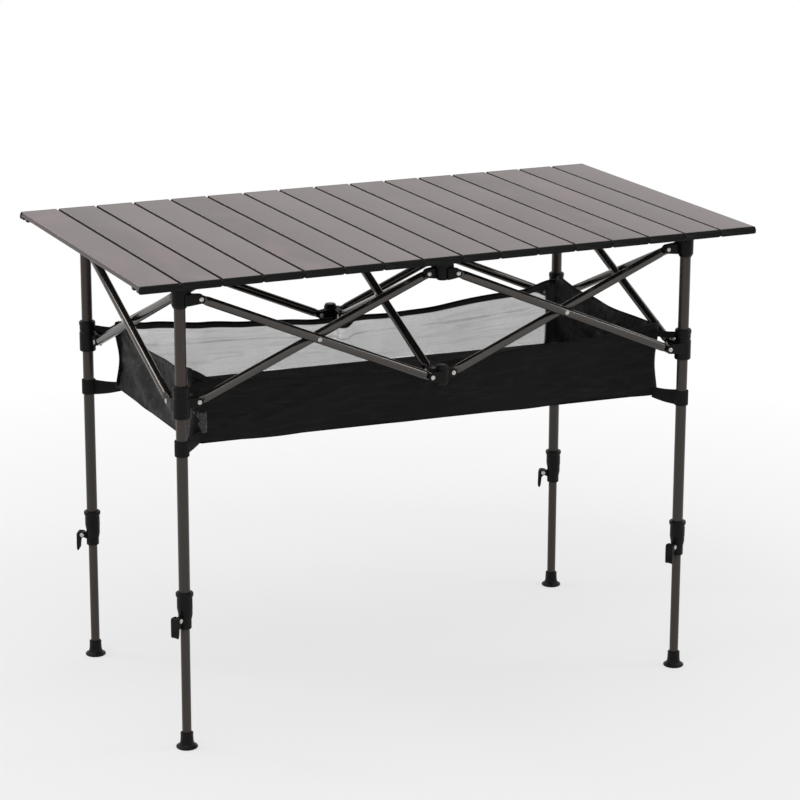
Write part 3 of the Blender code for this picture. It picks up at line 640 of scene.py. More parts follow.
def rivet_head(shape, axes, origin, base, height=0.0014, radius=RIVET_RADIUS):
    """A low dome on a short straight rim: (radius cos t, base + height (1/4 + 3/4 sin t))."""
    t = np.radians(np.linspace(0, 86, 7))
    dome = np.c_[radius * np.cos(t), base + height * (0.25 + 0.75 * np.sin(t))]
    turned(shape, np.r_[[(radius, base - 0.0002)], dome], 20, axes, origin)


def fork(plastic, bright, column, direction, side, z):
    """Adds one forked arm to the plastic and its rivet to the bright shape, at a pivot's height. At a corner,
    the outer ear runs on beside the leg, and the inner ear and the root stop clear of it."""
    reach, axes = arm_reach(column, direction), axes_of(direction, UP)
    middle = COLUMNS[column] + right_of(direction) * BRACE_OFFSET * side + (0, 0, z)
    pivot = middle + direction * reach
    root = BESIDE_LEG if column in CORNERS else NEAR_AXIS
    tip = arc(0.0063, -80, 80, 9, (reach, 0))
    waist = reach * 0.45
    block = mirrored([(root, -0.0083), (waist, -0.0078), (reach - 0.0066, -0.0066)], (1, -1))
    for sign in (-1, 1):
        begin = NEAR_AXIS if sign == side else root
        ear = np.r_[[(begin, -0.0085), (waist, -0.0080)], tip, [(waist, 0.0080), (begin, 0.0085)]]
        slab(plastic, ear, sign * EAR_NEAR, sign * EAR_FAR, axes, middle, 0.0005)
        rivet_head(bright, axes_of(direction, (0, 0, sign)), pivot, EAR_FAR)
    slab(plastic, soften(block, 0.0008), -EAR_NEAR - 0.0006, EAR_NEAR + 0.0006, axes, middle, 0.0004)
    turned(bright, [(SHANK_RADIUS, -EAR_FAR), (SHANK_RADIUS, EAR_FAR)], 12, axes, pivot)


def make_moulding(name, plastic, rivets, bright, body, node):
    """A moulded piece and the bright rivets that it carries, on one body."""
    make_piece(name, plastic, black_plastic, body, node)
    make_piece(rivets, bright, rivet_metal, body, node)


# %% [markdown]
# ## Top hubs
#
# The corner hubs are sockets on the tops of the legs. A wide roof carries the slats, and the skirt tapers in
# around the tube. The two centre hubs stand on nothing but their tubes, and end in a blunt taper.


# %% The six top hubs
def top_hub(column):
    """The profile runs down the bore, if there is one, and up the outside to the roof. A rib stands on each
    arm."""
    plastic, bright = Shape(), Shape()
    corner = column in CORNERS
    radius, height = (0.0115, 0.0505) if corner else (0.0100, 0.0480)
    bottom, top = TOP_HEIGHT - height, TOP_HEIGHT - 0.0060 - CLEARANCE
    bore = LEG_RADIUS + 0.0002
    inner = [(0.0004, top - 0.0060), (bore, top - 0.0060), (bore, bottom)] if corner else [(0.0004, bottom)]
    outer = [
        (radius - 0.0023, bottom), (radius - 0.0002, bottom + 0.0045), (radius, top - 0.0140),
        (radius - 0.0006, top - 0.0136), (radius - 0.0006, top - 0.0126), (radius, top - 0.0122),
        (radius, top - 0.0052), (radius + 0.0016, top - 0.0040), (radius + 0.0016, top - 0.0002),
        (0.0004, top),
    ]
    turned(plastic, rounded_profile(inner + outer, 0.0007), 44, UPRIGHT, COLUMNS[column])
    rib = soften([(0.004, 0.0060), (0.0150, 0.0060), (0.0120, 0.0250), (0.004, 0.0300)], 0.0015)
    for direction in arm_directions(column):
        fork(plastic, bright, column, direction, 1, UPPER_Z)
        middle = COLUMNS[column] + right_of(direction) * BRACE_OFFSET + (0, 0, UPPER_Z)
        slab(plastic, rib, -0.0012, 0.0012, axes_of(direction, UP), middle, 0.0004)
    body = f"leg_{column}" if corner else f"{column}_hub"
    make_moulding(f"hub_{column}", plastic, f"hub_rivets_{column}", bright, body, f"top_hub_{column}")


make_each("top hubs", top_hub, COLUMNS)

# %% [markdown]
# ## Sliders and lower hubs
#
# The sliders run down the outer legs when the table folds. They are sleeves with a rolled lip at the top and
# a thicker band round the pivots. The two lower centre hubs only join tubes.


# %% The six lower hubs
def lower_hub(column):
    """A slider's profile is a loop round its wall, and a centre hub's runs from the axis back to the axis."""
    plastic, bright = Shape(), Shape()
    if column in CORNERS:
        body = node = f"slider_{column}"
        low, high, radius, bore = LOWER_Z - 0.0190, LOWER_Z + 0.0270, 0.0116, LEG_RADIUS + 0.0003
        profile = [
            (bore, low), (radius - 0.0003, low), (radius + 0.0005, low + 0.0012),
            (radius + 0.0005, LOWER_Z + 0.0095), (radius - 0.0006, LOWER_Z + 0.0105),
            (radius - 0.0006, LOWER_Z + 0.0120), (radius, LOWER_Z + 0.0130), (radius, high - 0.0070),
            (radius + 0.0006, high - 0.0060), (radius + 0.0006, high - 0.0016), (radius - 0.0008, high),
            (bore + 0.0004, high), (bore, high - 0.0008),
        ]
        turned(plastic, soften(profile, 0.0005, 3), 44, UPRIGHT, COLUMNS[column], loop=True)
    else:
        body, node = f"lower_{column.split('_')[0]}_hub", f"lower_hub_{column}"
        low, high, radius = LOWER_Z - 0.0145, LOWER_Z + 0.0145, 0.0100
        profile = [
            (0.0004, low), (radius - 0.0023, low), (radius, low + 0.0045), (radius, LOWER_Z - 0.0006),
            (radius - 0.0006, LOWER_Z), (radius, LOWER_Z + 0.0006), (radius, high - 0.0045),
            (radius - 0.0023, high), (0.0004, high),
        ]
        turned(plastic, rounded_profile(profile, 0.0006), 40, UPRIGHT, COLUMNS[column])
    for direction in arm_directions(column):
        fork(plastic, bright, column, direction, -1, LOWER_Z)
    make_moulding(f"lower_fork_{column}", plastic, f"lower_rivets_{column}", bright, body, node)


make_each("lower hubs and sliders", lower_hub, COLUMNS)

# %% [markdown]
# ## Braces
#
# A brace is a round tube whose ends are pressed flat to fit the forks. It is one surface: rings along the
# tube whose height and width change at the ends, and which go from a circle to a flattened oval.


# %% The tube with pressed ends
def brace_tube(axes, origin):
    """Rings at stations x: the half height follows the round tip, sqrt(R^2 - x^2), before the pivot, and the
    half width w grows from the tongue to the tube by a smooth step. Each ring is
    (h sgn(cos) |cos|^p, w sgn(sin) |sin|^p)."""
    tip, half_tongue = 0.0058, 0.0026
    bow = tip * np.cos(np.radians(np.linspace(178, 90, 8)))
    neck, middle = np.linspace(0.0068, 0.0150, 8), np.linspace(0.03, BRACE_LENGTH / 2, 8)
    run = np.r_[bow, [0.0020, 0.0045, 0.0062], neck, middle]
    run = np.r_[run, BRACE_LENGTH - run[::-1][1:]]
    near = np.minimum(run, BRACE_LENGTH - run)
    step = np.clip((near - 0.0064) / 0.0064, 0, 1)
    step = step * step * (3 - 2 * step)
    round_tip = np.sqrt(np.maximum(tip**2 - near**2, 1e-8))
    half_height = np.where(near < 0, round_tip, tip + (BRACE_RADIUS - tip) * step)
    half_width = half_tongue + (BRACE_RADIUS - half_tongue) * step
    power = (0.62 + 0.38 * step)[:, None]
    angle = np.linspace(0, 2 * np.pi, 32, endpoint=False)
    y, z = (size[:, None] * np.sign(wave) * np.abs(wave) ** power
            for size, wave in ((half_height, np.cos(angle)), (half_width, np.sin(angle))))
    grid = np.stack([np.broadcast_to(run[:, None], y.shape), y, z], -1)
    return Shape().grid(grid @ axes + origin, wrap_cols=True, ends=True, uv=spread(run, np.linspace(0, 1, 33)))


def brace_place(start, end):
    """Axes and origin of a brace from the start column's upper fork down to the end column's lower fork."""
    direction = heading(start, end)
    slope = direction * np.cos(BRACE_SLOPE) - np.array([0, 0, np.sin(BRACE_SLOPE)])
    side = right_of(direction)
    origin = COLUMNS[start] + direction * arm_reach(start, direction) + side * BRACE_OFFSET + (0, 0, UPPER_Z)
    return axes_of(slope, np.cross(side, slope)), origin


# %% The seven crossed pairs
def one_brace(name, letter, start, end):
    """Makes one tube of a pair and returns its axes and the middle of the tube."""
    axes, origin = brace_place(start, end)
    node = f"brace_{name}_{letter}"
    make_piece(f"tube_{name}_{letter}", brace_tube(axes, origin), brace_paint, node, node)
    return axes, origin + axes[0] * BRACE_LENGTH / 2


def crossed_pair(name, start, end):
    """The first brace carries the pin through both, with a dome at each end."""
    axes, middle = one_brace(name, "a", start, end)
    pin, reach, node = Shape(), 2 * BRACE_OFFSET + BRACE_RADIUS, f"brace_{name}_a"
    turned(pin, [(PIN_RADIUS, -reach), (PIN_RADIUS, BRACE_RADIUS)], 12, axes, middle)
    rivet_head(pin, axes, middle, BRACE_RADIUS - 0.0006)
    rivet_head(pin, axes * np.array([[1], [-1], [-1]]), middle, reach - 0.0004)
    make_piece(f"crossing_rivet_{name}", pin, rivet_metal, node, node)
    one_brace(name, "b", end, start)


for name, (start, end) in CROSSED_PAIRS.items():
    crossed_pair(name, start, end)
print("crossed pairs", len(CROSSED_PAIRS))

# %% [markdown]
# ## Legs and feet
#
# The outer leg is a plain tube. The inner leg slides in it and stands in a moulded foot: a ribbed sleeve that
# flares into a broad flange with a rolled rim, so that it doesn't sink into soft ground.

# %% Tubes of the legs
LOCK_TOP = TOP_HEIGHT - 0.4580
LOCK_BOTTOM = LOCK_TOP - 0.0530
LEG_BOTTOM = LOCK_BOTTOM + 0.0060 + CLEARANCE
LEG_TOP = TOP_HEIGHT - 0.0128 - CLEARANCE
INNER_LOW, INNER_HIGH = 0.0150, LEG_BOTTOM + 0.1000
LIP = 0.0004


def make_tube(name, radius, wall, low, high, corner, body, node):
    """A loop profile of two walls and two softly rounded ends, turned. Extra rings keep its texture even."""
    shape, heights = Shape(), np.linspace(low + LIP, high - LIP, 12)
    outside, inside = np.full(12, radius), np.full(12, radius - wall)
    profile = np.r_[
        np.c_[outside, heights], [(radius - LIP / 2, high), (radius - wall, high)],
        np.c_[inside, heights[::-1]], [(radius - wall, low), (radius - LIP / 2, low)],
    ]
    turned(shape, profile, 40, UPRIGHT, COLUMNS[corner], loop=True)
    make_piece(f"{name}_{corner}", shape, leg_paint, f"{body}_{corner}", f"{node}_{corner}")


for corner in CORNERS:
    make_tube("outer_tube", LEG_RADIUS, 0.0011, LEG_BOTTOM, LEG_TOP, corner, "leg", "leg_tube")
    make_tube("inner_tube", INNER_LEG_RADIUS, 0.0012, INNER_LOW, INNER_HIGH, corner, "lower_leg", "leg_inner")
print("leg tubes", 2 * len(CORNERS))


# %% Feet
def ribbed(grid, angle):
    """Twelve shallow ribs on the sleeve: its radius grows by 2.2 % of cos 12a between flange and top."""
    height = grid[..., 2]
    mask = np.clip((height - 0.0085) / 0.002, 0, 1) * np.clip((0.0205 - height) / 0.001, 0, 1)
    swell = 1 + 0.022 * mask * np.clip(np.cos(12 * angle), -0.2, 1)
    grid[..., :2] *= swell[..., None]
    return grid


FOOT_PROFILE = rounded_profile([
    (0.0006, 0.0010), (0.0095, 0.0010), (0.0100, 0), (0.0142, 0), (0.0155, 0.0010), (0.0154, 0.0028),
    (0.0132, 0.0040), (0.0108, 0.0062), (0.0096, 0.0090), (0.0091, 0.0140), (0.0090, 0.0205),
    (0.0092, 0.0210), (0.0092, 0.0224), (0.0086, 0.0230), (0.0067, 0.0230), (0.0067, 0.0100), (0.0006, 0.0100),
], 0.0008)


def make_foot(corner):
    foot = Shape()
    turned(foot, FOOT_PROFILE, 96, UPRIGHT, COLUMNS[corner], bend=ribbed)
    make_piece(f"foot_{corner}", foot, black_plastic, f"lower_leg_{corner}", f"leg_inner_{corner}")


make_each("feet", make_foot, CORNERS)

# %% [markdown]
# ## Leg locks
#
# A collar clamps each inner leg. It has a rolled rim, a plain barrel whose lower edge is cut on a slant so
# that the lever has room, and a slimmer neck. The lever hangs on a pin in a lug: two cheeks with a cam, a back
# plate and a thumb tail that stands off the leg. Both levers of a side point the same way, as on the table.

# %% Places on a lock
PIN_OUT, PIN_Z = 0.0155, LOCK_TOP - 0.0375


def lock_axes(corner):
    """Level axes of a lock: the first points from the leg to its lever."""
    angle = np.pi - CORNERS[corner][1] * np.radians(30)
    return axes_of((np.cos(angle), np.sin(angle), 0), (-np.sin(angle), np.cos(angle), 0))


def slanted(grid, angle):
    """Lifts the barrel's lower edge by 9 mm (1 + cos a)/2 at the lever and lowers it by 5 mm (1 - cos a)/2
    behind, fading out above and below it."""
    height = grid[..., 2]
    above = np.clip((LOCK_TOP - 0.016 - height) / 0.010, 0, 1)
    weight = above * np.clip((height - LOCK_BOTTOM - 0.004) / 0.008, 0, 1)
    grid[..., 2] += weight * (0.0090 * (1 + np.cos(angle)) - 0.0050 * (1 - np.cos(angle))) / 2
    return grid


# %% Lock collars
def lock_collar(corner):
    """The profile runs up the outside from the neck over the barrel to the rim, and down the bore."""
    plastic, bright, axes = Shape(), Shape(), lock_axes(corner)
    barrel, bore, neck, rim = 0.0110, LEG_RADIUS + 0.0003, 0.0094, 0.0126
    profile = [
        (0.0069, LOCK_BOTTOM + 0.0003), (0.0074, LOCK_BOTTOM), (neck - 0.0004, LOCK_BOTTOM),
        (neck, LOCK_BOTTOM + 0.0008), (neck, PIN_Z), (neck + 0.0004, LOCK_TOP - 0.0362),
        (barrel - 0.0001, LOCK_TOP - 0.0305),
        (barrel, LOCK_TOP - 0.0290), (barrel, LOCK_TOP - 0.0180), (barrel, LOCK_TOP - 0.0064),
        (rim - 0.0002, LOCK_TOP - 0.0052), (rim, LOCK_TOP - 0.0010), (rim - 0.0008, LOCK_TOP),
        (bore + 0.0004, LOCK_TOP), (bore, LOCK_TOP - 0.0010), (bore, LOCK_BOTTOM + 0.0063),
        (0.0069, LOCK_BOTTOM + 0.0060),
    ]
    turned(plastic, soften(profile, 0.0006, 3), 56, axes, COLUMNS[corner], loop=True, bend=slanted)
    side = axes_of(axes[0], UP)
    lug = np.r_[[(0.0075, -0.0076)], arc(0.0038, -90, 90, 9, (PIN_OUT, 0)), [(0.0075, 0.0038)]]
    slab(plastic, lug, -0.0029, 0.0029, side, COLUMNS[corner] + (0, 0, PIN_Z), 0.0004)
    rib = soften([(0.0100, -0.0260), (0.0114, -0.0240), (0.0114, -0.0085), (0.0100, -0.0070)], 0.0006)
    for turn in np.radians((110, 145, 180, 215, 250)):
        out = np.cos(turn) * axes[0] + np.sin(turn) * axes[1]
        slab(plastic, rib, -0.0006, 0.0006, axes_of(out, UP), COLUMNS[corner] + (0, 0, LOCK_TOP), 0.0003)
    pin = COLUMNS[corner] + axes[0] * PIN_OUT + (0, 0, PIN_Z)
    turned(bright, [(PIN_RADIUS, -0.0066), (PIN_RADIUS, 0.0066)], 12, side, pin)
    for sign in (-1, 1):
        rivet_head(bright, axes_of(axes[0], (0, 0, sign)), pin, 0.0063, 0.0011, 0.0033)
    body, node = f"leg_{corner}", f"leg_lock_{corner}"
    make_moulding(f"lock_collar_{corner}", plastic, f"lock_pin_{corner}", bright, body, node)


make_each("lock collars", lock_collar, CORNERS)


# %% Lock levers
def lock_lever(corner):
    """Seen from the side: points as shares of how far the back stands off and how far the tail hangs down."""
    shape, axes = Shape(), axes_of(lock_axes(corner)[0], UP)
    pin = COLUMNS[corner] + axes[0] * PIN_OUT + (0, 0, PIN_Z)
    size = back, tail = 0.0085, 0.0250
    side = [
        (0.30, -0.30), (0.40, -0.60), (0.46, -0.84), (0.62, -0.97), (0.84, -1), (0.99, -0.90), (1, -0.50),
        (1, 0.06), (0.84, 0.17), (0.52, 0.19),
    ]
    cheek = soften(np.r_[arc(0.0046, 95, 270, 9), np.array(side) * size], 0.0010, 3)
    for sign in (-1, 1):
        slab(shape, cheek, sign * 0.0033, sign * 0.0060, axes, pin, 0.0005)
    plate = [
        (0.50, 0.17), (0.84, 0.165), (0.99, 0.06), (0.99, -0.50), (0.98, -0.90), (0.84, -0.985),
        (0.60, -0.95), (0.52, -0.82), (0.66, -0.60), (0.66, 0.02), (0.56, 0.08),
    ]
    slab(shape, soften(np.array(plate) * size, 0.0010, 3), -0.0052, 0.0052, axes, pin, 0.0003)
    ridge = mirrored([(-0.0008, -0.0006), (0.0005, -0.0004)], (1, -1))
    for share in (0.52, 0.62, 0.72, 0.82):
        grip = soften(ridge + (back, -share * tail), 0.0003, 2)
        slab(shape, grip, -0.0046, 0.0046, axes, pin, 0.0003)
    make_piece(f"lever_{corner}", shape, black_plastic, f"lever_{corner}", f"lock_lever_{corner}")


make_each("levers", lock_lever, CORNERS)

# %% [markdown]
# ## Basket cloths
#
# The basket is sewn from several cloths. The front and the floor are a near-black woven cloth, the ends a
# greyer one that creases easily, and the back a fine see-through mesh. A weave is two sets of threads, so each
# pattern is made of waves in the cloth's own coordinates. They are in metres, so it keeps its scale. The pale
# crests of creases and the bright sheen on the ends are painted highlights.

# %% Threads and woven cloth
THREAD_PITCH = 0.00055


def threads(across, pitch):
    """The size of a sine, |sin(pi d / pitch)|: nought at each multiple of the pitch and one half-way."""
    return (across * (np.pi / pitch)).sine().size()


def woven_cloth(name, base, faded_and_sheen, fade_and_sheen_share, crease_scale, shine=0.16, rough=0.66, lines=0.35):
    """One noise gives worn cloth and painted sheen: where the second colour is bright, as on the ends, its
    patches are painted glints. line is a painted highlight on the crest of a crease, and lines is its
    strength. slub is the unevenness of the threads.
    """
    made = Finish(name)
    u, v = made.parts(uv=True)[:2]
    weave = threads(u, THREAD_PITCH) * 0.5 + threads(v, THREAD_PITCH) * 0.5
    slub = made.noise((90, 2400, 1), 2, uv=True) * 0.5 + made.noise((2400, 90, 1), 2, uv=True) * 0.5
    wear_and_sheen = made.noise((14, 30, 1), 4, 0.6, uv=True)
    crease = made.noise(crease_scale, 3, 0.5, uv=True)
    line = 1 - (crease - 0.5).size().ramp(0.0, 0.035)
    # Worn cloth and painted sheen, by one noise.
    colour = made.mix(wear_and_sheen.ramp(0.40, 0.72).power(2.0) * fade_and_sheen_share, base, faded_and_sheen)
    # Painted highlight along the crest of each crease.
    colour = made.mix(line * lines, colour, times(1.8, faded_and_sheen))
    colour = made.mix(slub.ramp(0.45, 0.75) * 0.25, colour, faded_and_sheen)
    made.set(Base_Color=colour, Roughness=wear_and_sheen.ramp(0.3, 0.7, rough, rough + 0.18), Specular_IOR_Level=shine)
    made.bump(weave * 0.5 + line * 0.6 + wear_and_sheen * 0.5, 0.35, 0.0006)
    return made.owner


# The second colour of a cloth is worn cloth, and it also colours the painted crease highlights.
black, black_fade_and_sheen = (0.0038, 0.0038, 0.0044), (0.0115, 0.0113, 0.0125)
# The end cloth's second colour is a painted sheen: bright glints on its near-black base.
dark, dark_fade_and_sheen = (0.0056, 0.0053, 0.0051), (0.150, 0.144, 0.141)
black_cloth = woven_cloth("basket_cloth_black", black, black_fade_and_sheen, 0.8, (7, 60, 1), 0.15, 0.60)
grey_cloth = woven_cloth("basket_cloth_grey", dark, dark_fade_and_sheen, 0.90, (22, 30, 1), 0.16, 0.50, 0.05)
inner_tape = woven_cloth("basket_tape_grey", (0.036, 0.034, 0.034), (0.070, 0.067, 0.067), 0.8, (60, 20, 1))
webbing = woven_cloth("webbing_black", (0.0042,) * 3, (0.012,) * 3, 0.6, (300, 40, 1))
print("cloths", black_cloth.name, grey_cloth.name, inner_tape.name, webbing.name)

# %% See-through mesh
MESH_LENGTH, MESH_PITCH = 0.7515, 0.0011


def mesh_cloth():
    """Holes between the threads let the view through; plain black cloth is sewn to the rim and to each end."""
    made = Finish("basket_mesh")
    u, v = made.parts(uv=True)[:2]
    hole = threads(u, MESH_PITCH).ramp(0.16, 0.34) * threads(v, MESH_PITCH).ramp(0.16, 0.34)
    dense, crease = made.noise((9, 16, 1), uv=True), made.noise((3, 70, 1), uv=True)
    faint = 1 - (crease - 0.5).size().ramp(0.0, 0.030)
    wave = (u * 23.0).sine() * 0.0012 + dense * 0.0030
    line = (1 - (v - wave - 0.0215).size().ramp(0.0, 0.0018)) * dense.ramp(0.40, 0.60)
    inside = u.ramp(0.024, 0.028) * (MESH_LENGTH - u).ramp(0.024, 0.028) * v.ramp(0.0066, 0.0072)
    band = 1 - inside
    cover = 1 - hole * dense.ramp(0.3, 0.7, 0.99, 0.90) * (1 - faint * 0.05) * (1 - line * 0.22) * (1 - band)
    colour = made.mix(dense.ramp(0.3, 0.7), (0.118, 0.100, 0.105), (0.152, 0.130, 0.136))
    colour = made.mix(band, colour, (0.0045, 0.0045, 0.0050))
    made.set(Base_Color=colour, Alpha=cover, Roughness=dense.ramp(0.3, 0.7, 0.60, 0.75))
    made.bump((1 - hole) * 0.6 + line * 0.3, 0.10, 0.0003)
    return made.owner


see_through = mesh_cloth()
print("cloth", see_through.name)

# %% [markdown]
# ## Hanging panels
#
# A panel hangs from its rim, so the rim's line matters most: it dips between the sliders that hold it and
# ducks under the brace that crosses it. Below the rim the cloth is slack. Its creases are sharp on the crest
# and soft in between, which one minus the size of a sine, squared, gives well. A simulation would add little
# to so flat a sheet.


# %% Lines and creases of a hanging cloth
def eased(x, knots):
    """A line through knots (x, y), level at each: between two, y0 + (y1 - y0) s, with s = t^2 (3 - 2t)."""
    xs, ys = np.array(knots, float).T
    k = np.clip(np.searchsorted(xs, x) - 1, 0, len(xs) - 2)
    t = np.clip((x - xs[k]) / (xs[k + 1] - xs[k]), 0, 1)
    return ys[k] + (ys[k + 1] - ys[k]) * t * t * (3 - 2 * t)


def creases(a, b, seed, lean, count, wave):
    """Mean of crests (1 - |sin q|)^2, with q = wave (a cos t + b sin t) + a slow bend, t near lean, each
    weighted by a slow swell, so that creases run out and begin again."""
    pick = np.random.default_rng(seed)
    total = 0
    for number in range(count):
        t = lean + pick.uniform(-0.5, 0.5)
        q = wave * pick.uniform(0.6, 1.5) * (a * np.cos(t) + b * np.sin(t))
        q = q + 1.2 * np.sin(9 * a + pick.uniform(0, 6)) + pick.uniform(0, 6)
        swell = 0.5 + 0.5 * np.sin(a * pick.uniform(8, 22) + b * pick.uniform(10, 40) + pick.uniform(0, 6))
        total = total + (1 - np.abs(np.sin(q))) ** 2 * swell
    return total / count


def cloth_size(points):
    """Mean length of the rows and of the columns, and the area as the sum of |du x dv| over the squares."""
    du, dv = np.diff(points, axis=0), np.diff(points, axis=1)
    area = float(lengths(np.cross(du[:, :-1], dv[:-1])).sum())
    return float(lengths(du).sum(0).mean()), float(lengths(dv).sum(1).mean()), area


# %% Making sheets and strips of cloth
CLOTH, LEAST_AREA = 0.0012, 0.31


def cloth_sheet(name, points, finish, body):
    """A grid of points made a sheet with a thickness. Its texture coordinates are the metres run along the
    rows and along the columns. The area declared is at most that of a flat cloth of the size, and at least
    LEAST_AREA of it.
    LEAST_AREA of it, which nothing uses."""
    rows, cols = points.shape[:2]
    uv = spread(distances(points[:, cols // 2]), distances(points[rows // 2]))
    shape = Shape().grid(points, uv=uv)
    piece = make_piece(name, shape, finish, body, "basket", closed=False, crease=80)
    wall = piece.modifiers.new("thickness", "SOLIDIFY")
    wall.thickness, wall.offset = CLOTH, 0
    width, length, area = cloth_size(points)
    area = max(min(area, width * length), LEAST_AREA * width * length)
    return piece


def strip(name, line, up, out, finish, body, half_thick, high):
    """A flat strip carried along a line: a rounded section that stands half_thick to each side along out and
    reaches down by high against up."""
    section = soften([(-half_thick, -high), (half_thick, -high), (half_thick, 0), (-half_thick, 0)], 0.0008, 2)
    up, out = np.broadcast_to(up, line.shape), np.broadcast_to(out, line.shape)
    points = line[:, None] + section[None, :, :1] * out[:, None] + section[None, :, 1:] * up[:, None]
    uv = spread(distances(line), distances(np.r_[section, section[:1]]))
    shape = Shape().grid(points, wrap_cols=True, ends=True, uv=uv)
    return make_piece(name, shape, finish, body, "basket", crease=50)


# %% [markdown]
# ## Front, back and ends of the basket
#
# Each panel rides on the hub or slider that it hangs from.

# %% Sizes of the basket
HALF_Y = LEG_Y - 0.0345
LEFT_X, RIGHT_X = -LEG_X + 0.0305, LEG_X - 0.0190
CORNER_CUT, HEM_LIFT = 0.0120, 0.0006
BRACE_DEPTH, BRACE_WIDE = 0.1980, 0.0120
FLOOR_DEPTH, FLOOR_SLIP = 0.2560, 0.0105
FRONT_RIM = [
    (-0.365, 0.1500), (-0.335, 0.1650), (-0.28, 0.1725), (-0.174, 0.1790), (-0.05, 0.1850), (0.06, 0.1775),
    (0.18, 0.1705), (0.27, 0.1690), (0.375, 0.1570),
]
BACK_RIM = [
    (-0.365, 0.1570), (-0.31, 0.1640), (-0.22, 0.1720), (-0.147, 0.1790), (-0.015, 0.1870), (0.10, 0.1885),
    (0.31, 0.1740), (0.375, 0.1620),
]
LEFT_RIM = [(-0.155, 0.1510), (-0.09, 0.1600), (0.0, 0.1665), (0.08, 0.1650), (0.155, 0.1540)]
RIGHT_RIM = [(-0.155, 0.1640), (-0.09, 0.1660), *LEFT_RIM[2:]]


def duck(x, rim, middle):
    """Takes a rim's depth down to the brace's where they cross, fading as exp(-(d / w)^4)."""
    return rim + (BRACE_DEPTH - rim) * np.exp(-(((x - middle) / BRACE_WIDE) ** 4))


def floor_edge(x):
    """Depth of the bottom seam: it hangs lower towards the right, as cloth that has slipped."""
    return FLOOR_DEPTH + FLOOR_SLIP * (x - LEFT_X) / (RIGHT_X - LEFT_X)


def hang(word, points, finish, body, up, out, hem_finish, hem_size):
    """A panel with the hem along its rim, each with a mesh of its own."""
    line = points[:, 0] + (0, 0, HEM_LIFT)
    hem = strip(f"basket_hem_{word}", line, up, out, hem_finish, body, *hem_size)
    sheet = cloth_sheet(f"basket_{word}", points, finish, body)
    for piece in (sheet, hem):
        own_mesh(piece)
    print("basket", word, [round(x, 4) for x in cloth_size(points)])


# %% The long panels
def long_panel(word, side, rim_knots, finish, seed, crumple, hem_high):
    """Rows run along x and columns from the rim down. The cloth lies in by a slack bow sin(pi v) and its
    creases. The front is also pulled into ridges exp(-(d / w)^2), which run from the lower corners up into
    the panel. At its ends the cloth turns the corner along a quarter of an ellipse."""
    x, v = np.linspace(LEFT_X, RIGHT_X, 260)[:, None], np.linspace(0, 1, 40)[None]
    rim = duck(x, eased(x, rim_knots), BRACE_OFFSET * side)
    bottom = floor_edge(x) + 0.0012 * np.sin(31 * x + seed)
    depth = rim + (bottom - rim) * v
    hold = np.sin(np.pi * v) ** 0.6
    flute = 0.0016 * np.sin(70 * x + 3 * np.sin(11 * x)) * (1 - v) ** 2
    lie_in = hold * (0.0045 + crumple * creases(x, depth, seed, np.pi / 2, 7, 75))
    lie_in = lie_in + flute + 0.0016 * np.sin(19 * x + seed) * v
    if word == "front":
        left, right = x - LEFT_X, RIGHT_X - x
        for run, rise in ((right, 0.27), (right, 0.14), (left, 0.25), (left, 0.40)):
            reach = np.clip(run / 0.05, 0, 1) * np.clip((0.27 - run) / 0.10, 0, 1)
            ridge = np.exp(-(((bottom - depth - rise * run) / 0.0050) ** 2))
            lie_in = lie_in - 0.0034 * reach * hold * ridge
    to_corner = np.clip(1 - np.minimum(x - LEFT_X, RIGHT_X - x) / 0.016, 0, 1)
    wrap = 1 - np.sqrt(np.maximum(1 - to_corner**2, 0))
    y = side * (HALF_Y - lie_in * (1 - to_corner) - CORNER_CUT * wrap)
    sway = 0.0030 * to_corner * np.sin(np.pi * (2.1 * v + 0.35)) * np.sign(x)
    points = np.stack([x + sway, y + 0 * x, TOP_HEIGHT - depth], -1)
    along = np.gradient(points[:, 0] + (0, 0, HEM_LIFT), axis=0)
    up = np.cross(np.cross(along, UP), along)
    up /= lengths(up)[:, None]
    hang(word, points, finish, f"lower_{word}_hub", up, (0, side, 0), webbing, (0.0016, hem_high))


long_panel("front", -1, FRONT_RIM, black_cloth, 3, 0.0060, 0.0090)
long_panel("back", 1, BACK_RIM, see_through, 8, 0.0007, 0.0068)


# %% The end panels
def end_panel(word, side, edge_x, rim_knots, seed, hem_finish):
    """Rows run along y and columns from the rim down. This cloth is stiffer: it creases in slanted folds over
    a few broad swells, 0.005 sin(46 y + 9 v) cos(pi y / 2Y), held at the rim and at the bottom seam. The rim
    itself waves by 3 mm."""
    y = np.linspace(-HALF_Y + CORNER_CUT, HALF_Y - CORNER_CUT, 130)[:, None]
    v = np.linspace(0, 1, 44)[None]
    rim = eased(y, rim_knots)
    depth = rim + (floor_edge(edge_x) + 0.0015 * np.sin(40 * y) - rim) * v
    hold = np.sin(np.pi * v) ** 0.5
    folds = 0.6 * creases(y, depth, seed, 0.9, 6, 95) + 0.6 * creases(y, depth, seed + 1, 2.2, 6, 120)
    swell = 0.0050 * np.sin(46 * y + 9 * v + seed) * np.cos(np.pi * y / (2 * HALF_Y))
    lie_in = hold * (0.0050 + 0.0115 * folds + swell) + 0.0030 * np.sin(38 * y + seed) * (1 - v) ** 2
    points = np.stack([edge_x - side * lie_in, y + 0 * v, TOP_HEIGHT - depth], -1)
    hang(word, points, grey_cloth, f"slider_front_{word}", UP, (side, 0, 0), hem_finish, (0.0014, 0.0075))


end_panel("left", -1, LEFT_X, LEFT_RIM, 21, inner_tape)
end_panel("right", 1, RIGHT_X, RIGHT_RIM, 34, webbing)

# %% [markdown]
# ## Floor, gusset and straps
#
# The floor sags between its seams. It is made in three strips, which slide over each other and gather to the
# front when the table folds. A crumpled gusset closes one corner. At each corner a hanger goes to the slider,
# and a tapering strap ends in a loop round the leg, which keeps the basket from swinging.


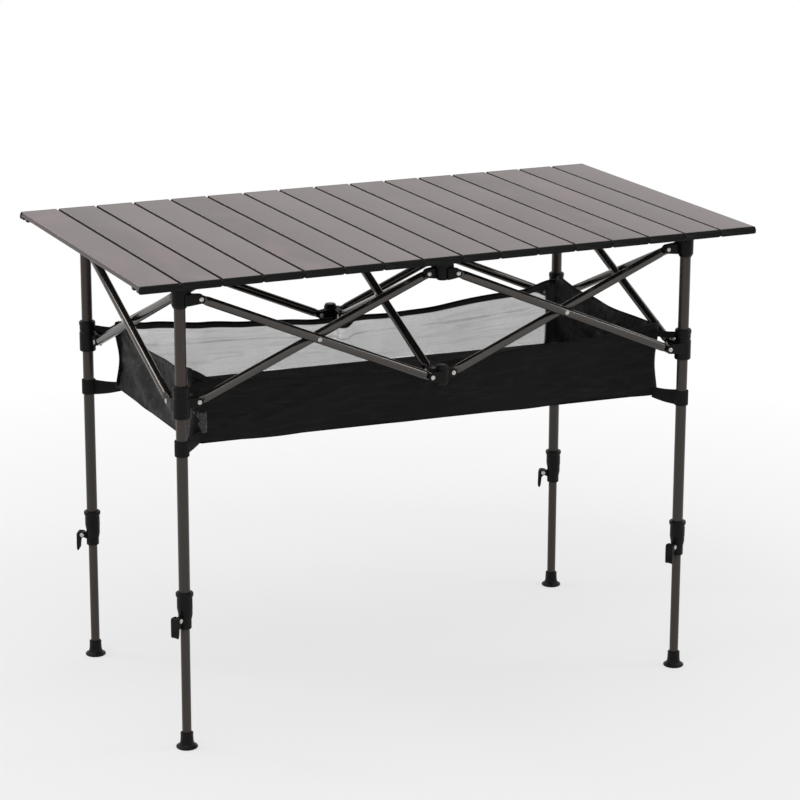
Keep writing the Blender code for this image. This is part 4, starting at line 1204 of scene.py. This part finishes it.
# %% The floor
def floor_strip(word, body, x_from, x_to):
    """Rows along x and columns along y. The sag is (1 - X^2)(1 - Y^2), with X and Y from -1 to 1 over the
    whole floor."""
    x = np.linspace(x_from, x_to, 90)[:, None]
    corner = np.maximum(CORNER_CUT - np.minimum(x - LEFT_X, RIGHT_X - x), 0)
    y = np.linspace(-1, 1, 90)[None] * (HALF_Y - corner)
    across = (2 * x - LEFT_X - RIGHT_X) / (RIGHT_X - LEFT_X)
    bow = (1 - across**2) * (1 - (y / HALF_Y) ** 2)
    rough = creases(x, y, 55, 0.4, 6, 34) - 0.25
    depth = floor_edge(x) + 0.0120 * bow - 0.0045 * rough * np.clip(6 * bow, 0, 1)
    points = np.stack([x + 0 * y, y, TOP_HEIGHT - depth], -1)
    sheet = cloth_sheet(f"basket_floor_{word}", points, black_cloth, body)
    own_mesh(sheet)


SPLIT = 0.15
floor_strip("left", "slider_front_left", LEFT_X, -SPLIT)
floor_strip("middle", "lower_front_hub", -SPLIT, SPLIT)
floor_strip("right", "slider_front_right", SPLIT, RIGHT_X)
print("basket floor in three strips, split at", -SPLIT, "and", SPLIT)


# %% Hangers, straps and loops
def corner_cloth(corner, lift):
    """Strips run from the leg to the panels' corner. The strap and the loop sit higher by lift, as tied."""
    (sx, sy), column, body, made = CORNERS[corner], COLUMNS[corner], f"slider_{corner}", []
    edge_x = LEFT_X if sx < 0 else RIGHT_X
    inward = np.array([edge_x - sx * 0.010, sy * (HALF_Y - 0.0015), 0]) - column
    reach = lengths(inward) + 0.0005
    inward /= lengths(inward)
    s = np.linspace(0, 1, 18)
    hanger = ("hanger", 0.0122, -0.1660, 0.0100, 0.0100)
    strap = ("strap", 0.0092, lift - 0.2545, 0.0230, 0.0165 if sy < 0 else 0.0135)
    for word, near, rise, high, low in (hanger, strap):
        line = column + inward * (near + (reach - near) * s)[:, None]
        line[:, 2] = TOP_HEIGHT + rise - 0.0012 * np.sin(np.pi * s)
        up = (1 - s * (1 - low / high))[:, None] * UP
        name, out = f"basket_{word}_{corner}", np.cross(inward, UP)
        made.append(strip(name, line, up, out, webbing, body, 0.0011, high))
    ring = np.array([(0.0084, 0.4135), (0.0104, 0.4135), (0.0104, 0.4355), (0.0084, 0.4355)]) + (0, lift)
    loop = Shape()
    turned(loop, soften(ring, 0.0006, 2), 36, UPRIGHT, column, loop=True)
    made.append(make_piece(f"basket_loop_{corner}", loop, webbing, body, "basket", crease=50))
    for cloth in made[1:]:
        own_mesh(cloth)


LOOP_LIFT = {"front_left": 0.0165, "front_right": 0.0, "back_left": 0.0040, "back_right": 0.0}
for corner, lift in LOOP_LIFT.items():
    corner_cloth(corner, lift)
print("hangers, straps and loops", len(LOOP_LIFT))


# %% The gusset
def gusset(corner, edge_x):
    """Rows run round the corner and columns down: the cloth bellies out by sin(pi t) and is crumpled."""
    sx, sy = CORNERS[corner]
    t, v = np.linspace(0, 1, 60)[:, None], np.linspace(0, 1, 60)[None]
    start = np.array([edge_x - sx * 0.019, sy * (HALF_Y + 0.0012)])
    end = np.array([edge_x + sx * 0.0012, sy * (HALF_Y - 0.030)])
    out = np.array([sx, sy]) / np.sqrt(2)
    rough = creases(t * 0.03, v * 0.04, 70, 1.2, 8, 160) + creases(t * 0.03, v * 0.04, 71, 2.6, 8, 210)
    depth = 0.2110 + 0.0020 * np.sin(9 * t) + (0.0275 + 0.0020 * np.sin(5 * t + 1)) * v
    belly = np.sin(np.pi * t) ** 0.7 * (0.0080 + 0.0070 * (rough - 0.4)) * (1 - 0.35 * v**3)
    flat = start * (1 - t[..., None]) + end * t[..., None] + out * belly[..., None]
    points = np.concatenate([flat, (TOP_HEIGHT - depth)[..., None]], -1)
    cloth_sheet(f"basket_gusset_{corner}", points, crumpled, f"slider_{corner}")


# The gusset's bright second colour is a painted sheen on its crumples.
crumpled = woven_cloth("basket_gusset_grey", (0.050, 0.048, 0.047), (0.190, 0.182, 0.178), 0.9, (140, 170, 1))
gusset("front_left", LEFT_X)
print("gusset of", crumpled.name)

# %% [markdown]
# ## Floor and light
#
# A plain pale floor and wide soft lights from above and the sides, so the slats show their sheen and the dark
# frame keeps its shapes. Colours are set to come out about as written: the light that reaches a level surface
# adds up to about one. The world is white to the camera and to reflections, and much weaker as a light. The
# floor fades into that white away from the table, so no horizon shows.

# %% The studio floor
WORLD_LIGHT = 0.50


def in_view(finish):
    """One for the camera's rays, also by a reflection or through glass, and nought for rays of light."""
    path = finish.node("LightPath", {}, out="Is Camera Ray")
    reflected, through = path.output("Is Glossy Ray"), path.output("Is Transmission Ray")
    return path.larger(reflected).larger(through)


def studio_floor():
    """A matt floor. Where it is in view, plain white is mixed in: 0.6 near the table and all far from it."""
    pale = Finish("studio_floor")
    colour = pale.mix(pale.noise((3, 3, 3), 2), (0.84, 0.84, 0.84), (0.86, 0.86, 0.86))
    pale.set(Base_Color=colour, Roughness=0.9)
    x, y = pale.parts()[:2]
    far = (x * x + y * y).power(0.5).ramp(0.75, 1.7)
    white = pale.node("Emission", {"Color": (1, 1, 1), "Strength": 1.0})
    share = (far * 0.40 + 0.60) * in_view(pale)
    both = pale.node("MixShader", {0: share, 1: Flow(pale, pale.shader.outputs[0]), 2: white})
    pale.feed(pale.tree.nodes["Material Output"].inputs["Surface"], both)
    ground = Shape().grid(np.dstack([spread(*[np.linspace(-30, 30, 9)] * 2), np.zeros((9, 9))]))
    mesh = bpy.data.meshes.new("studio_floor")
    mesh.from_pydata(ground.points[0], [], ground.faces)
    mesh.materials.append(pale.owner)
    floor = bpy.data.objects.new("studio_floor", mesh)
    bpy.context.scene.collection.objects.link(floor)


studio_floor()
print("studio floor ready")


# %% World and lamps
def white_world():
    """White where it is seen, and weaker as a light."""
    sky = Finish("studio", "worlds", "Background")
    sky.set(Color=(1, 1, 1), Strength=in_view(sky).ramp(0.0, 1.0, WORLD_LIGHT, 1.0))
    bpy.context.scene.world = sky.owner


def lamp(name, place, size, power):
    """A square soft light that looks at the middle of the table."""
    data = bpy.data.lights.new(name, "AREA")
    data.size, data.energy = size, power
    made = bpy.data.objects.new(name, data)
    towards = Vector((0, 0, 0.4)) - Vector(place)
    made.matrix_world = Matrix.Translation(place) @ towards.to_track_quat("-Z", "Y").to_matrix().to_4x4()
    bpy.context.scene.collection.objects.link(made)


white_world()
lamp("key", (-1.0, -0.8, 3.2), 2.4, 26)
lamp("top", (0.8, 0.8, 3.4), 2.6, 13)
lamp("left", (-2.1, 1.5, 2.5), 0.6, 11)
lamp("right", (2.45, -1.1, 2.3), 0.6, 11)
bpy.context.scene.view_settings.view_transform = "Standard"
print("world and four lamps ready")
